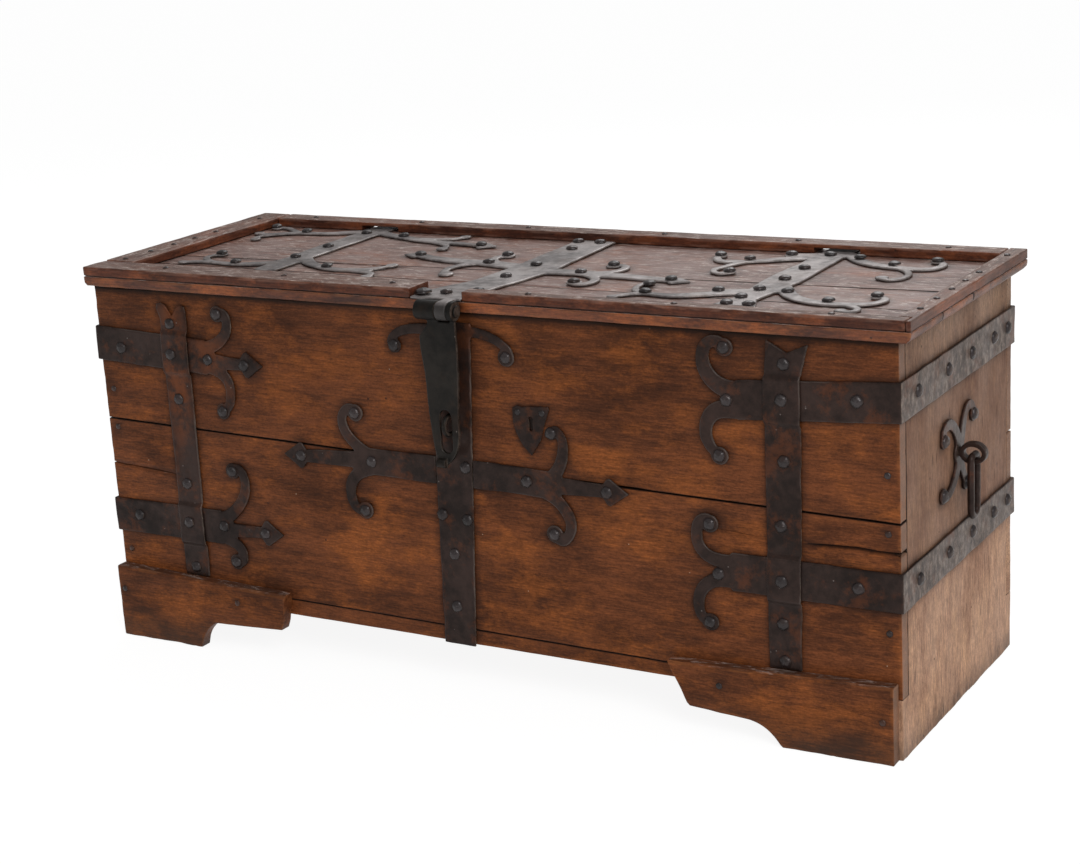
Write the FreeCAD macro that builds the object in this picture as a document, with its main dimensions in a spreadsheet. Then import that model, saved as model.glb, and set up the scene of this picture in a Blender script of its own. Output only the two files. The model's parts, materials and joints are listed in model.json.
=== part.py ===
import FreeCAD, Part
import math
import os

import Sketcher
from FreeCAD import Placement, Rotation, Vector

# An iron-bound coffer chest: oak boards nailed into a box, two bracket feet in front, a boarded lid with a
# raised rim, forged straps with scrolled ends, two strap hinges, a hasp over a staple, a box lock and a drop
# handle on each end.
# Frame: millimetres, +Z up, the floor at Z 0, the front facing -Y, the origin under the middle of the box.

SIZES = {
    # the box
    "body_length": 1300.0,
    "body_depth": 442.0,
    "body_height": 563.0,
    "end_thickness": 26.0,
    "front_thickness": 22.0,
    "back_thickness": 20.0,
    "bottom_low_left": 72.0,
    "bottom_low_right": 66.0,
    "plank_foot_left": 99.0,
    "plank_foot_right": 85.0,
    "front_upper_width_left": 210.0,
    "front_upper_width_right": 238.0,
    "back_upper_width": 233.0,
    "plank_gap": 0.8,
    # the two bracket feet
    "foot_thickness": 21.0,
    "foot_chamfer": 3.5,
    "foot_left_inset": 0.5,
    "foot_left_length": 326.0,
    "foot_left_outer_height": 117.0,
    "foot_left_inner_height": 107.0,
    "foot_left_pad": 155.0,
    "foot_left_shoulder": 33.0,
    "foot_left_arch": 44.0,
    "foot_left_throat": 50.0,
    "foot_left_slant": 10.0,
    "foot_right_inset": 5.0,
    "foot_right_length": 326.0,
    "foot_right_outer_height": 110.0,
    "foot_right_inner_height": 100.5,
    "foot_right_pad": 158.6,
    "foot_right_shoulder": 50.0,
    "foot_right_arch": 32.2,
    "foot_right_throat": 38.6,
    "foot_right_slant": 30.0,
    # the lid
    "lid_gap": 0.3,
    "lid_thickness": 15.0,
    "lid_left_overhang": 12.0,
    "lid_right_overhang": 19.0,
    "lid_end_chamfer": 7.0,
    "lid_front_overhang": 8.0,
    "lid_back_overhang": 14.0,
    "lid_front_board": 117.0,
    "lid_rear_board_left": 291.0,
    "lid_rear_board_right": 229.0,
    "rim_height": 15.0,
    "rim_front_left": 53.0,
    "rim_front_right": 24.0,
    "rim_left": 56.0,
    "rim_right": 26.0,
    "rim_right_lap": 7.0,
    "rim_rear": 40.0,
    "rim_gap_left": 66.0,
    "rim_gap_right": 19.0,
    "rim_notch_height": 8.0,
    "rim_notch_margin": 14.0,
    # the flat iron
    "iron_thickness": 4.0,
    "front_strap_left": 149.0,
    "front_strap_right": 160.0,
    "upper_band_left_drop": 89.0,
    "upper_band_right_drop": 77.0,
    "lower_band_left": 197.0,
    "lower_band_right": 233.0,
    "band_width": 54.0,
    "cross_drop": 234.0,
    "back_leg": 120.0,
    "leaf_length": 230.0,
    # the hinges
    "arm_clearance": 4.0,
    "hinge_right_inset": 245.0,
    "hinge_width": 44.0,
    "hinge_radius": 11.0,
    "hinge_pin_radius": 5.5,
    "hinge_pin_head": 3.0,
    "barrel_gap": 0.8,
    "knuckle_gap": 0.4,
    "pin_clearance": 0.05,
    # the hasp and its staple
    "hasp_x": -9.0,
    "hasp_left_knuckle": 33.4,
    "hasp_middle_knuckle": 19.4,
    "hasp_right_knuckle": 8.4,
    "hasp_right_reach": 27.0,
    "hasp_barrel_radius": 14.0,
    "hasp_pin_radius": 6.0,
    "hasp_thickness": 6.0,
    "hasp_length": 221.0,
    "hasp_slot_width": 19.0,
    "hasp_slot_length": 63.0,
    "hasp_slot_drop": 142.0,
    "staple_drop": 166.0,
    "staple_bar": 7.0,
    "staple_spread": 27.0,
    "staple_reach": 29.5,
    # the lock
    "lock_x": 115.0,
    "keyhole_drop": 145.0,
    "keyhole_length": 17.0,
    "scutcheon_thickness": 2.5,
    "keyhole_radius": 3.6,
    "keyhole_slot": 5.0,
    "lock_width": 96.0,
    "lock_height": 178.0,
    "lock_depth": 29.0,
    "lock_sheet": 2.5,
    "lock_flange": 14.0,
    "lock_drop": 13.0,
    "bolt_travel": 18.0,
    "bolt_thickness": 5.0,
    "bolt_height": 11.0,
    "stud_radius": 3.0,
    "bolt_clearance": 0.3,
    # the handles
    "handle_y": -8.0,
    "handle_rise": 6.5,
    "eye_reach": 19.0,
    "eye_rise": 15.5,
    "eye_thickness": 6.5,
    "eye_width": 12.0,
    "eye_drop": 2.6,
    "bail_bar": 10.0,
    "bail_width": 24.0,
    "bail_length": 84.0,
    "bail_corner": 6.0,
    "bail_foot_corner": 11.5,
    # the nails
    "nail_radius": 9.5,
    "nail_dome": 5.5,
    "stud_head_radius": 12.5,
    "stud_head_dome": 8.5,
    "small_nail_radius": 5.0,
    "small_nail_dome": 2.0,
    "shank_radius": 2.6,
    "shank_length": 22.0,
    "clout_length": 11.0,
    "spike_length": 42.0,
}

doc = FreeCAD.newDocument("coffer_chest")
sheet = doc.addObject("Spreadsheet::Sheet", "sizes")
for row, (alias, number) in enumerate(SIZES.items(), start=1):
    sheet.set(f"A{row}", alias)
    sheet.set(f"B{row}", str(number))
    sheet.setAlias(f"B{row}", alias)
doc.recompute()


class Size:
    """A length that knows both its number and the spreadsheet formula that gives it."""

    def __init__(self, number, formula):
        self.number = number
        self.formula = formula

    def __float__(self):
        return float(self.number)

    def __add__(self, other):
        return Size(self.number + float(other), f"({self.formula} + {text(other)})")

    def __radd__(self, other):
        return Size(float(other) + self.number, f"({text(other)} + {self.formula})")

    def __sub__(self, other):
        return Size(self.number - float(other), f"({self.formula} - {text(other)})")

    def __rsub__(self, other):
        return Size(float(other) - self.number, f"({text(other)} - {self.formula})")

    def __mul__(self, other):
        return Size(self.number * float(other), f"({self.formula} * {text(other)})")

    def __rmul__(self, other):
        return Size(float(other) * self.number, f"({text(other)} * {self.formula})")

    def __truediv__(self, other):
        return Size(self.number / float(other), f"({self.formula} / {text(other)})")

    def __neg__(self):
        return Size(-self.number, f"(-{self.formula})")


def text(value):
    """The spreadsheet formula of a Size, or a plain number as text."""
    return value.formula if isinstance(value, Size) else f"{float(value):.6f}"


def named(alias):
    """The Size of one spreadsheet cell."""
    return Size(float(sheet.get(alias)), f"sizes.{alias}")


ROOT_TWO = math.sqrt(2.0)

# places worked out from the driving sizes
end_x = named("body_length") / 2
inner_x = end_x - named("end_thickness")
front_y = -(named("body_depth") / 2)
back_y = named("body_depth") / 2
inner_front_y = front_y + named("front_thickness")
inner_back_y = back_y - named("back_thickness")
top_z = named("body_height")
iron = named("iron_thickness")
gap = named("plank_gap")

lid_x0 = -end_x - named("lid_left_overhang")
lid_x1 = end_x + named("lid_right_overhang")
lid_front_y = front_y - named("lid_front_overhang")
lid_back_y = back_y + named("lid_back_overhang")
lid_low_z = top_z + named("lid_gap")
lid_top_z = lid_low_z + named("lid_thickness")
rim_top_z = lid_top_z + named("rim_height")

hinge_y = lid_back_y + named("barrel_gap") + named("hinge_radius")
hinge_z = lid_top_z + iron - named("hinge_radius")
hasp_y = lid_front_y - named("barrel_gap") - named("hasp_barrel_radius")
hasp_z = lid_top_z + iron - named("hasp_barrel_radius")

upper_left_z = top_z - named("upper_band_left_drop")
upper_right_z = top_z - named("upper_band_right_drop")
lower_left_z = named("lower_band_left")
lower_right_z = named("lower_band_right")

# The ironwork is drawn in steps on a grid of the box's own proportions, so that it follows the box's sizes.
GRID_LONG = 1300
GRID_DEEP = 442
GRID_HIGH = 563
step_long = named("body_length") / GRID_LONG
step_deep = named("body_depth") / GRID_DEEP
step_high = named("body_height") / GRID_HIGH

nodes = {}
nails = {}


# ---------------------------------------------------------------------------------------------------------
# boards and plates: a bound sketch on an origin plane, padded to its thickness


def attach(sketch, body, plane, offset):
    """Put a sketch on one of its body's own origin planes, moved along the plane's normal."""
    planes = [item for item in body.Origin.OriginFeatures if item.Role == f"{plane}_Plane"]
    sketch.AttachmentSupport = [(planes[0], "")]
    sketch.MapMode = "FlatFace"
    sketch.setExpression("AttachmentOffset.Base.z", text(offset))


def bind(sketch, kind, edge, end, value):
    """Hold one coordinate of a sketch point at a formula."""
    index = sketch.addConstraint(Sketcher.Constraint(kind, edge, end, float(value)))
    sketch.setExpression(f"Constraints[{index}]", text(value))


def draw(sketch, outline):
    """Draw a closed outline. A corner (u, v) ends a straight edge, (u, v, um, vm) an arc through um, vm."""
    points = [Vector(float(corner[0]), float(corner[1]), 0) for corner in outline]
    ends = []
    for index, corner in enumerate(outline):
        start = points[index - 1]
        stop = points[index]
        if len(corner) == 4:
            through = Vector(float(corner[2]), float(corner[3]), 0)
            edge = sketch.addGeometry(Part.Arc(start, through, stop), False)
        else:
            edge = sketch.addGeometry(Part.LineSegment(start, stop), False)
        to_first = sketch.getPoint(edge, 1).distanceToPoint(stop)
        to_last = sketch.getPoint(edge, 2).distanceToPoint(stop)
        nearer = to_first < to_last
        ends.append((edge, 1 if nearer else 2))
    for index, (edge, end) in enumerate(ends):
        following, its_end = ends[(index + 1) % len(ends)]
        sketch.addConstraint(Sketcher.Constraint("Coincident", edge, end, following, 3 - its_end))
        bind(sketch, "DistanceX", edge, end, outline[index][0])
        bind(sketch, "DistanceY", edge, end, outline[index][1])
    for (edge, end), corner in zip(ends, outline):
        if len(corner) == 4:
            point = sketch.addGeometry(Part.Point(Vector(float(corner[2]), float(corner[3]), 0)), True)
            bind(sketch, "DistanceX", point, 1, corner[2])
            bind(sketch, "DistanceY", point, 1, corner[3])
            sketch.addConstraint(Sketcher.Constraint("PointOnObject", point, 1, edge))


def ring(sketch, u, v, radius):
    """Draw a bound circle."""
    circle = Part.Circle(Vector(float(u), float(v), 0), Vector(0, 0, 1), float(radius))
    edge = sketch.addGeometry(circle, False)
    bind(sketch, "DistanceX", edge, 3, u)
    bind(sketch, "DistanceY", edge, 3, v)
    index = sketch.addConstraint(Sketcher.Constraint("Radius", edge, float(radius)))
    sketch.setExpression(f"Constraints[{index}]", text(radius))


def new_body(label):
    """An empty PartDesign body that becomes the node of that name."""
    body = doc.addObject("PartDesign::Body", label)
    body.Label = label
    nodes[label] = body
    return body


def feature(body, kind, plane, start, depth, outline):
    """Pad or pocket an outline, or a circle (u, v, radius), from start for depth along the plane's axis."""
    low = start
    high = start + depth
    flips = plane == "XZ"
    pads = kind == "Pad"
    sketch = body.newObject("Sketcher::SketchObject", f"{body.Name}_{kind}_outline")
    if flips:
        offset = -high if pads else -low
    else:
        offset = low if pads else high
    attach(sketch, body, plane, offset)
    if isinstance(outline, tuple):
        ring(sketch, *outline)
    else:
        draw(sketch, outline)
    solid = body.newObject(f"PartDesign::{kind}", f"{body.Name}_{kind}")
    solid.Profile = sketch
    solid.setExpression("Length", text(depth))
    sketch.Visibility = False
    return solid


def box_outline(u0, v0, u1, v1):
    """The four corners of a rectangle."""
    return [(u0, v0), (u1, v0), (u1, v1), (u0, v1)]


def slab(label, plane, start, depth, outline):
    """A body of one pad."""
    body = new_body(label)
    feature(body, "Pad", plane, start, depth, outline)
    return body


# ---------------------------------------------------------------------------------------------------------
# forged iron: tapering scrolls of flat bar, drawn flat and then laid on a side of the chest

FRONT = Rotation(Vector(1, 0, 0), Vector(0, 0, 1), Vector(0, -1, 0), "XYZ")
BACK = Rotation(Vector(-1, 0, 0), Vector(0, 0, 1), Vector(0, 1, 0), "XYZ")
RIGHT = Rotation(Vector(0, 1, 0), Vector(0, 0, 1), Vector(1, 0, 0), "XYZ")
LEFT = Rotation(Vector(0, -1, 0), Vector(0, 0, 1), Vector(-1, 0, 0), "XYZ")
TOP = Rotation()
UNDER = Rotation(Vector(1, 0, 0), Vector(0, -1, 0), Vector(0, 0, -1), "XYZ")


def flat(points):
    """The face inside a polygon."""
    corners = [Vector(float(u), float(v), 0) for u, v in points]
    return Part.Face(Part.makePolygon(corners + corners[:1]))


def disc(u, v, radius):
    """A round face."""
    edge = Part.makeCircle(radius, Vector(float(u), float(v), 0))
    return Part.Face(Part.Wire(edge))


def smooth(points):
    """A spline through flat points."""
    spline = Part.BSplineCurve()
    spline.interpolate([Vector(float(u), float(v), 0) for u, v in points])
    return spline


class Grid:
    """The steps in which one side's ironwork is drawn."""

    def __init__(self, across, up):
        self.across = float(across)
        self.up = float(up)
        self.mean = (self.across + self.up) / 2

    def at(self, anchor, point):
        """The place that lies a number of steps from an anchor."""
        return (float(anchor[0]) + point[0] * self.across, float(anchor[1]) + point[1] * self.up)


ON_FRONT = Grid(step_long, step_high)
ON_LID = Grid(step_long, step_deep)

SCROLL_STATIONS = 14


def scroll(grid, anchor, points, root, tip, pad=0.0):
    """Faces of a scroll that tapers from root to tip along points from its anchor, round-ended by a pad."""
    centre = smooth([grid.at(anchor, point) for point in points])
    left = []
    right = []
    for station in range(SCROLL_STATIONS + 1):
        share = station / SCROLL_STATIONS
        parameter = centre.FirstParameter + share * (centre.LastParameter - centre.FirstParameter)
        place = centre.value(parameter)
        along = centre.tangent(parameter)[0]
        across = Vector(-along.y, along.x, 0)
        half = (root + (tip - root) * share) * grid.mean / 2
        left.append(place + across * half)
        right.append(place - across * half)
    edges = [
        smooth([(p.x, p.y) for p in left]).toShape(),
        Part.makeLine(left[-1], right[-1]),
        smooth([(p.x, p.y) for p in reversed(right)]).toShape(),
        Part.makeLine(right[0], left[0]),
    ]
    faces = [Part.Face(Part.Wire(edges))]
    if pad:
        faces.append(disc(*grid.at(anchor, points[-1]), pad * grid.mean))
    return faces


LEAF = [(-16, 7), (-7, 9), (0, 19), (5, 20), (12, 15), (22, 8), (34, 0)]


def leaf(grid, anchor, place, heading, size=1.0):
    """The pointed three-lobed end of a stem, heading +1 or -1 across."""
    upper = [(heading * u * size, v * size) for u, v in LEAF]
    lower = [(u, -v) for u, v in reversed(upper[:-1])]
    return [flat([grid.at(anchor, (place[0] + u, place[1] + v)) for u, v in upper + lower])]


def thicken(faces, thickness):
    """One solid from overlapping flat faces."""
    solids = [face.extrude(Vector(0, 0, float(thickness))) for face in faces]
    if len(solids) == 1:
        return solids[0]
    return solids[0].multiFuse(solids[1:]).removeSplitter()


def lay(shape, rotation, place):
    """A shape drawn flat at height 0, turned onto a side of the chest."""
    moved = shape.copy()
    moved.Placement = Placement(Vector(*[float(value) for value in place]), rotation)
    return moved


def forging(label, shape):
    """A node whose shape is worked out in code."""
    item = doc.addObject("Part::Feature", label)
    item.Label = label
    item.Shape = shape
    nodes[label] = item
    return item


def block(x0, x1, y0, y1, z0, z1):
    """A box between two corners."""
    size = [float(x1) - float(x0), float(y1) - float(y0), float(z1) - float(z0)]
    return Part.makeBox(*size, Vector(float(x0), float(y0), float(z0)))


def rod(radius, length, start, direction):
    """A cylinder from start along direction."""
    return Part.makeCylinder(float(radius), float(length), Vector(*[float(c) for c in start]), direction)


# ---------------------------------------------------------------------------------------------------------
# nails: a domed head on a tapering shank, grouped by where they are driven


def nail_shape(radius, dome, length):
    """A nail standing on height 0, its head up and its shank down."""
    shank = float(named("shank_radius"))
    sphere = (radius * radius + dome * dome) / (2 * dome)
    half = math.asin(radius / sphere) / 2
    middle = Vector(sphere * math.sin(half), 0, dome - sphere * (1 - math.cos(half)))
    crown = Part.Arc(Vector(0, 0, dome), middle, Vector(radius, 0, 0)).toShape()
    down = [Vector(radius, 0, 0), Vector(shank, 0, 0), Vector(shank * 0.4, 0, -length), Vector(0, 0, -length)]
    sides = [Part.makeLine(a, b) for a, b in zip(down, down[1:] + [Vector(0, 0, dome)])]
    return Part.Face(Part.Wire([crown] + sides)).revolve(Vector(0, 0, 0), Vector(0, 0, 1), 360)


def nail_kind(size, length):
    """A nail of one of the head sizes with a shank of a named length."""
    radius = float(named(f"{size}_radius"))
    dome = float(named(f"{size}_dome"))
    return nail_shape(radius, dome, float(named(length)))


BIG_NAIL = nail_kind("nail", "shank_length")
CLOUT_NAIL = nail_kind("nail", "clout_length")
STUD_NAIL = nail_kind("stud_head", "clout_length")
PLANK_NAIL = nail_kind("small_nail", "spike_length")
RIM_NAIL = nail_kind("small_nail", "shank_length")
SMALL_NAIL = nail_kind("small_nail", "clout_length")


def drive(group, kind, rotation, place):
    """Add one nail to a group, its head seated at place and facing the way of the rotation."""
    nails.setdefault(group, []).append(lay(kind, rotation, place))


# ---------------------------------------------------------------------------------------------------------
# the oak box


def end_board(label, start, foot):
    """An end: one wide board down to the floor, rebated at both edges for the planks."""
    outline = [
        (front_y, 0),
        (back_y, 0),
        (back_y, foot),
        (inner_back_y, foot),
        (inner_back_y, top_z),
        (inner_front_y, top_z),
        (inner_front_y, foot),
        (front_y, foot),
    ]
    slab(label, "YZ", start, named("end_thickness"), outline)


foot_left = named("plank_foot_left")
foot_right = named("plank_foot_right")
end_board("end_board_left", -end_x, foot_left)
end_board("end_board_right", inner_x, foot_right)
plank_feet = [(-end_x, foot_left), (-inner_x, foot_left), (inner_x, foot_right), (end_x, foot_right)]

joint_left = top_z - named("front_upper_width_left")
joint_right = top_z - named("front_upper_width_right")
keyhole_z = top_z - named("keyhole_drop")
key_half = named("keyhole_slot") / 2
key_low_z = keyhole_z - named("keyhole_length")

slab(
    "front_plank_lower",
    "XZ",
    front_y,
    named("front_thickness"),
    plank_feet + [(end_x, joint_right), (-end_x, joint_left)],
)
upper_plank = slab(
    "front_plank_upper",
    "XZ",
    front_y,
    named("front_thickness"),
    [(-end_x, joint_left + gap), (end_x, joint_right + gap), (end_x, top_z), (-end_x, top_z)],
)
key_x = named("lock_x")
wood_key = [
    (key_x - key_half - 1, key_low_z - 1),
    (key_x + key_half + 1, key_low_z - 1),
    (key_x + key_half + 1, keyhole_z + 6),
    (key_x - key_half - 1, keyhole_z + 6),
]
feature(upper_plank, "Pocket", "XZ", front_y, named("front_thickness"), wood_key)

back_plank_y = inner_back_y
back_joint = top_z - named("back_upper_width")
slab(
    "back_plank_lower",
    "XZ",
    back_plank_y,
    named("back_thickness"),
    plank_feet + [(end_x, back_joint), (-end_x, back_joint)],
)
slab(
    "back_plank_upper",
    "XZ",
    back_plank_y,
    named("back_thickness"),
    box_outline(-end_x, back_joint + gap, end_x, top_z),
)
bottom_low_left = named("bottom_low_left")
bottom_low_right = named("bottom_low_right")
bottom_edge = [
    (-inner_x, bottom_low_left),
    (inner_x, bottom_low_right),
    (inner_x, foot_right),
    (-inner_x, foot_left),
]
half_gap = gap / 2
slab("bottom_board_front", "XZ", front_y, -front_y - half_gap, bottom_edge)
slab("bottom_board_rear", "XZ", half_gap, back_y - half_gap, bottom_edge)


def foot_top(word, reach):
    """The height of a foot's sloping top at a distance in from its outer end."""
    outer = named(f"foot_{word}_outer_height")
    inner = named(f"foot_{word}_inner_height")
    return outer - (outer - inner) * (reach / float(named(f"foot_{word}_length")))


def front_edge_at_top(shape, face, floor):
    """The name of a shape's long edge on its front face above a height."""
    for index, edge in enumerate(shape.Edges, start=1):
        ends = [vertex.Point for vertex in edge.Vertexes]
        if len(ends) == 2 and all(abs(end.y - face) < 0.01 and end.z > floor for end in ends):
            return f"Edge{index}"
    raise RuntimeError("the foot has no front top edge")


def bracket_foot(word, side):
    """A foot sawn to a bracket, planted on the front; side is -1 for the left end and +1 for the right."""
    outer = side * (end_x - named(f"foot_{word}_inset"))
    length = named(f"foot_{word}_length")
    pad = named(f"foot_{word}_pad")
    shoulder = named(f"foot_{word}_shoulder")
    arch = named(f"foot_{word}_arch")
    slant = named(f"foot_{word}_slant")
    corners = [
        (outer, 0),
        (outer - side * pad, 0),
        (
            outer - side * (pad + shoulder),
            arch,
            outer - side * (pad + shoulder * 0.42),
            arch * 0.66,
        ),
        (outer - side * (length - slant), named(f"foot_{word}_throat")),
        (outer - side * length, named(f"foot_{word}_inner_height")),
        (outer, named(f"foot_{word}_outer_height")),
    ]
    face = front_y - named("foot_thickness")
    body = new_body(f"foot_front_{word}")
    pad_feature = feature(body, "Pad", "XZ", face, named("foot_thickness"), corners)
    doc.recompute()
    arris = body.newObject("PartDesign::Chamfer", f"{body.Name}_arris")
    floor = float(named(f"foot_{word}_throat")) + 1
    arris.Base = (pad_feature, [front_edge_at_top(pad_feature.Shape, float(face), floor)])
    arris.setExpression("Size", text(named("foot_chamfer")))
    body.Tip = arris


bracket_foot("left", -1)
bracket_foot("right", 1)


# ---------------------------------------------------------------------------------------------------------
# the lid: three boards with raised rims nailed on top

lid_joint_y = lid_front_y + named("lid_front_board")
rear_left_y = lid_back_y - named("lid_rear_board_left")
rear_right_y = lid_back_y - named("lid_rear_board_right")


def lid_board(label, outline):
    """A board of the lid, chamfered underneath at both ends."""
    body = slab(label, "XY", lid_low_z, named("lid_thickness"), outline)
    chamfer = named("lid_end_chamfer")
    deep = lid_back_y - lid_front_y
    for x, inward in ((lid_x0, 1), (lid_x1, -1)):
        wedge = [(x, lid_low_z), (x + chamfer * inward, lid_low_z), (x, lid_low_z + chamfer)]
        feature(body, "Pocket", "XZ", lid_front_y, deep, wedge)


lid_board("lid_board_front", box_outline(lid_x0, lid_front_y, lid_x1, lid_joint_y))
lid_board(
    "lid_board_middle",
    [(lid_x0, lid_joint_y + gap), (lid_x1, lid_joint_y + gap), (lid_x1, rear_right_y), (lid_x0, rear_left_y)],
)
lid_board(
    "lid_board_rear",
    [(lid_x0, rear_left_y + gap), (lid_x1, rear_right_y + gap), (lid_x1, lid_back_y), (lid_x0, lid_back_y)],
)


def rim(label, outline):
    """A strip of the raised rim."""
    return slab(label, "XY", lid_top_z, named("rim_height"), outline)


rim_left_x = lid_x0 + named("rim_left")
rim_right_x = lid_x1 - named("rim_right")
rim_lap_x = lid_x1 - named("rim_right_lap")
rim_rear_y = lid_back_y - named("rim_rear")
rim_left_y = lid_front_y + named("rim_front_left")
rim_right_y = lid_front_y + named("rim_front_right")
rim("lid_rim_left", box_outline(lid_x0, rim_left_y + gap, rim_left_x, lid_back_y))
rim("lid_rim_front_left", box_outline(lid_x0, lid_front_y, -named("rim_gap_left"), rim_left_y))
rim("lid_rim_front_right", box_outline(named("rim_gap_right"), lid_front_y, rim_lap_x - gap, rim_right_y))
rim(
    "lid_rim_right",
    [
        (rim_lap_x, lid_front_y),
        (lid_x1, lid_front_y),
        (lid_x1, lid_back_y),
        (rim_right_x, lid_back_y),
        (rim_right_x, rim_right_y + gap),
        (rim_lap_x, rim_right_y + gap),
    ],
)
rear_rim = rim("lid_rim_rear", box_outline(rim_left_x + gap, rim_rear_y, rim_right_x - gap, lid_back_y))

# the arms of the left hinge strap reach this many steps towards the rim
LEFT_ARM_REACH = 202
hinge_left_x = rim_left_x + named("arm_clearance") + step_long * LEFT_ARM_REACH
hinge_right_x = rim_right_x - named("hinge_right_inset")
half_notch = named("hinge_width") / 2 + named("rim_notch_margin")
for hinge_x in (hinge_left_x, hinge_right_x):
    notch = box_outline(
        hinge_x - half_notch,
        lid_top_z,
        hinge_x + half_notch,
        lid_top_z + named("rim_notch_height"),
    )
    feature(rear_rim, "Pocket", "XZ", rim_rear_y, named("rim_rear"), notch)


# ---------------------------------------------------------------------------------------------------------
# the straps of the box

thick = float(iron)
front = float(front_y)
half_length = float(end_x)
on_wood = front - thick
on_band = front - 2 * thick


def front_nail(x, z, seat):
    """A domed nail on the front, its head seated at depth seat."""
    drive("front_nails", BIG_NAIL, FRONT, (x, seat, z))


UPPER_LEFT = {
    "root": 22,
    "up": [(-22, 12), (2, 20), (23, 34), (32, 54), (27, 70), (15, 69)],
    "down": [(-22, -12), (4, -17), (22, -30), (27, -51), (22, -71), (10, -81)],
    "stem": [(-10, -3), (26, -5), (56, -6)],
    "leaf": (58, -6),
}
LOWER_LEFT = {
    "root": 22,
    "up": [(-22, 12), (4, 22), (22, 38), (36, 62), (36, 86), (27, 97), (16, 93)],
    "down": [(-22, -12), (2, -20), (19, -33), (20, -50), (8, -53)],
    "stem": [(-10, -2), (28, -1), (64, 0)],
    "leaf": (68, 0),
}
UPPER_RIGHT = {
    "root": 28,
    "up": [(22, 12), (3, 14), (-18, 23), (-31, 40), (-34, 59), (-27, 73), (-14, 78), (-3, 70)],
    "down": [(22, -12), (3, -12), (-18, -17), (-30, -30), (-33, -47), (-27, -64), (-14, -77)],
}
LOWER_RIGHT = {
    "root": 22,
    "up": [(22, 13), (0, 13), (-20, 18), (-34, 32), (-37, 50), (-33, 65), (-24, 71), (-17, 64)],
    "down": [(22, -13), (0, -13), (-22, -20), (-35, -36), (-38, -54), (-33, -70), (-21, -76)],
}
FORK_REACH = 14
FORK_POINT = 8


def corner_strap(label, side, reach, band_z, slope, arms, rivets):
    """A strap that runs from scrolls on the front round an end and a little way along the back."""
    half = float(named("band_width")) / 2
    z = float(band_z)
    corner = side * (half_length + thick)
    anchor = (side * (half_length - reach * ON_FRONT.across), z - slope * ON_FRONT.up)
    fork = anchor[0] + side * FORK_REACH
    fork_z = anchor[1] + (z - anchor[1]) * (anchor[0] - fork) / (anchor[0] - corner)
    point = (anchor[0] - side * FORK_POINT, anchor[1])
    low = (fork, fork_z - half)
    high = (fork, fork_z + half)
    faces = [flat([low, (corner, z - half), (corner, z + half), high, point])]
    for arm in ("up", "down"):
        faces += scroll(ON_FRONT, anchor, arms[arm], arms["root"], 14, 12.5)
    if "stem" in arms:
        faces += scroll(ON_FRONT, anchor, arms["stem"], 24, 17)
        faces += leaf(ON_FRONT, anchor, arms["leaf"], 1)
    shape = lay(thicken(faces, thick), FRONT, (0, front, 0))
    x0, x1 = sorted((side * half_length, corner))
    back = float(back_y)
    shape = shape.fuse(block(x0, x1, on_wood, back + thick, z - half, z + half))
    leg_length = float(named("back_leg"))
    x0, x1 = sorted((side * (half_length - leg_length), corner))
    shape = shape.fuse(block(x0, x1, back, back + thick, z - half, z + half)).removeSplitter()
    forging(label, shape)
    for rivet in rivets + [arms["up"][-1], arms["down"][-1]]:
        front_nail(*ON_FRONT.at(anchor, rivet), on_wood)
    end_side = RIGHT if side > 0 else LEFT
    group = "end_nails_right" if side > 0 else "end_nails_left"
    for share in (-0.74, -0.23, 0.19, 0.6, 0.87):
        drive(group, BIG_NAIL, end_side, (corner, share * back, z + 0.06 * half))
    for share in (0.25, 0.75):
        drive("back_nails", BIG_NAIL, BACK, (side * (half_length - share * leg_length), back + thick, z))


def band_strap(label, centre_x, outline, crossings, rivets):
    """An upright strap on the front that steps out where it crosses a corner strap.

    Its outline is in steps across from its middle and in millimetres above the floor.
    """
    outline = [(centre_x + u * ON_FRONT.across, v) for u, v in outline]
    low = min(v for _, v in outline)
    high = max(v for _, v in outline)
    inner = [(front, low)]
    for z in crossings:
        z0 = z - float(named("band_width")) / 2 - thick / 2
        z1 = z + float(named("band_width")) / 2 + thick / 2
        inner += [(front, z0 - thick * 1.5), (on_wood, z0), (on_wood, z1), (front, z1 + thick * 1.5)]
    inner.append((front, high))
    outer = [(y - thick, z) for y, z in inner]
    profile = flat(inner + outer[::-1])
    width = max(abs(u) for u, _ in outline) + thick
    bent = lay(profile.extrude(Vector(0, 0, 2 * width)), RIGHT, (-width, 0, 0))
    face = lay(flat(outline).extrude(Vector(0, 0, 4 * thick)), FRONT, (0, front + thick, 0))
    forging(label, face.common(bent))
    for u, v, seat in rivets:
        front_nail(centre_x + u * ON_FRONT.across, v, seat)


corner_strap(
    "corner_strap_upper_left",
    -1,
    220,
    upper_left_z,
    10,
    UPPER_LEFT,
    [(-175, 5), (-9, -2), (58, -6)],
)
corner_strap(
    "corner_strap_lower_left",
    -1,
    220,
    lower_left_z,
    0,
    LOWER_LEFT,
    [(-175, 3), (-9, 3), (69, 0)],
)
corner_strap(
    "corner_strap_upper_right",
    1,
    235,
    upper_right_z,
    15,
    UPPER_RIGHT,
    [(-1, 0), (180, 13)],
)
corner_strap(
    "corner_strap_lower_right",
    1,
    250,
    lower_right_z,
    -1,
    LOWER_RIGHT,
    [(-6, -5), (193, 0)],
)

left_x = -half_length + float(named("front_strap_left"))
right_x = half_length - float(named("front_strap_right"))
head_z = float(top_z) - 23 * ON_FRONT.up
up = ON_FRONT.up
band_left_z = float(upper_left_z) - 6.5 * up
band_right_z = float(upper_right_z) - 10 * up
low_left_z = float(lower_left_z)
low_right_z = float(lower_right_z)


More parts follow.
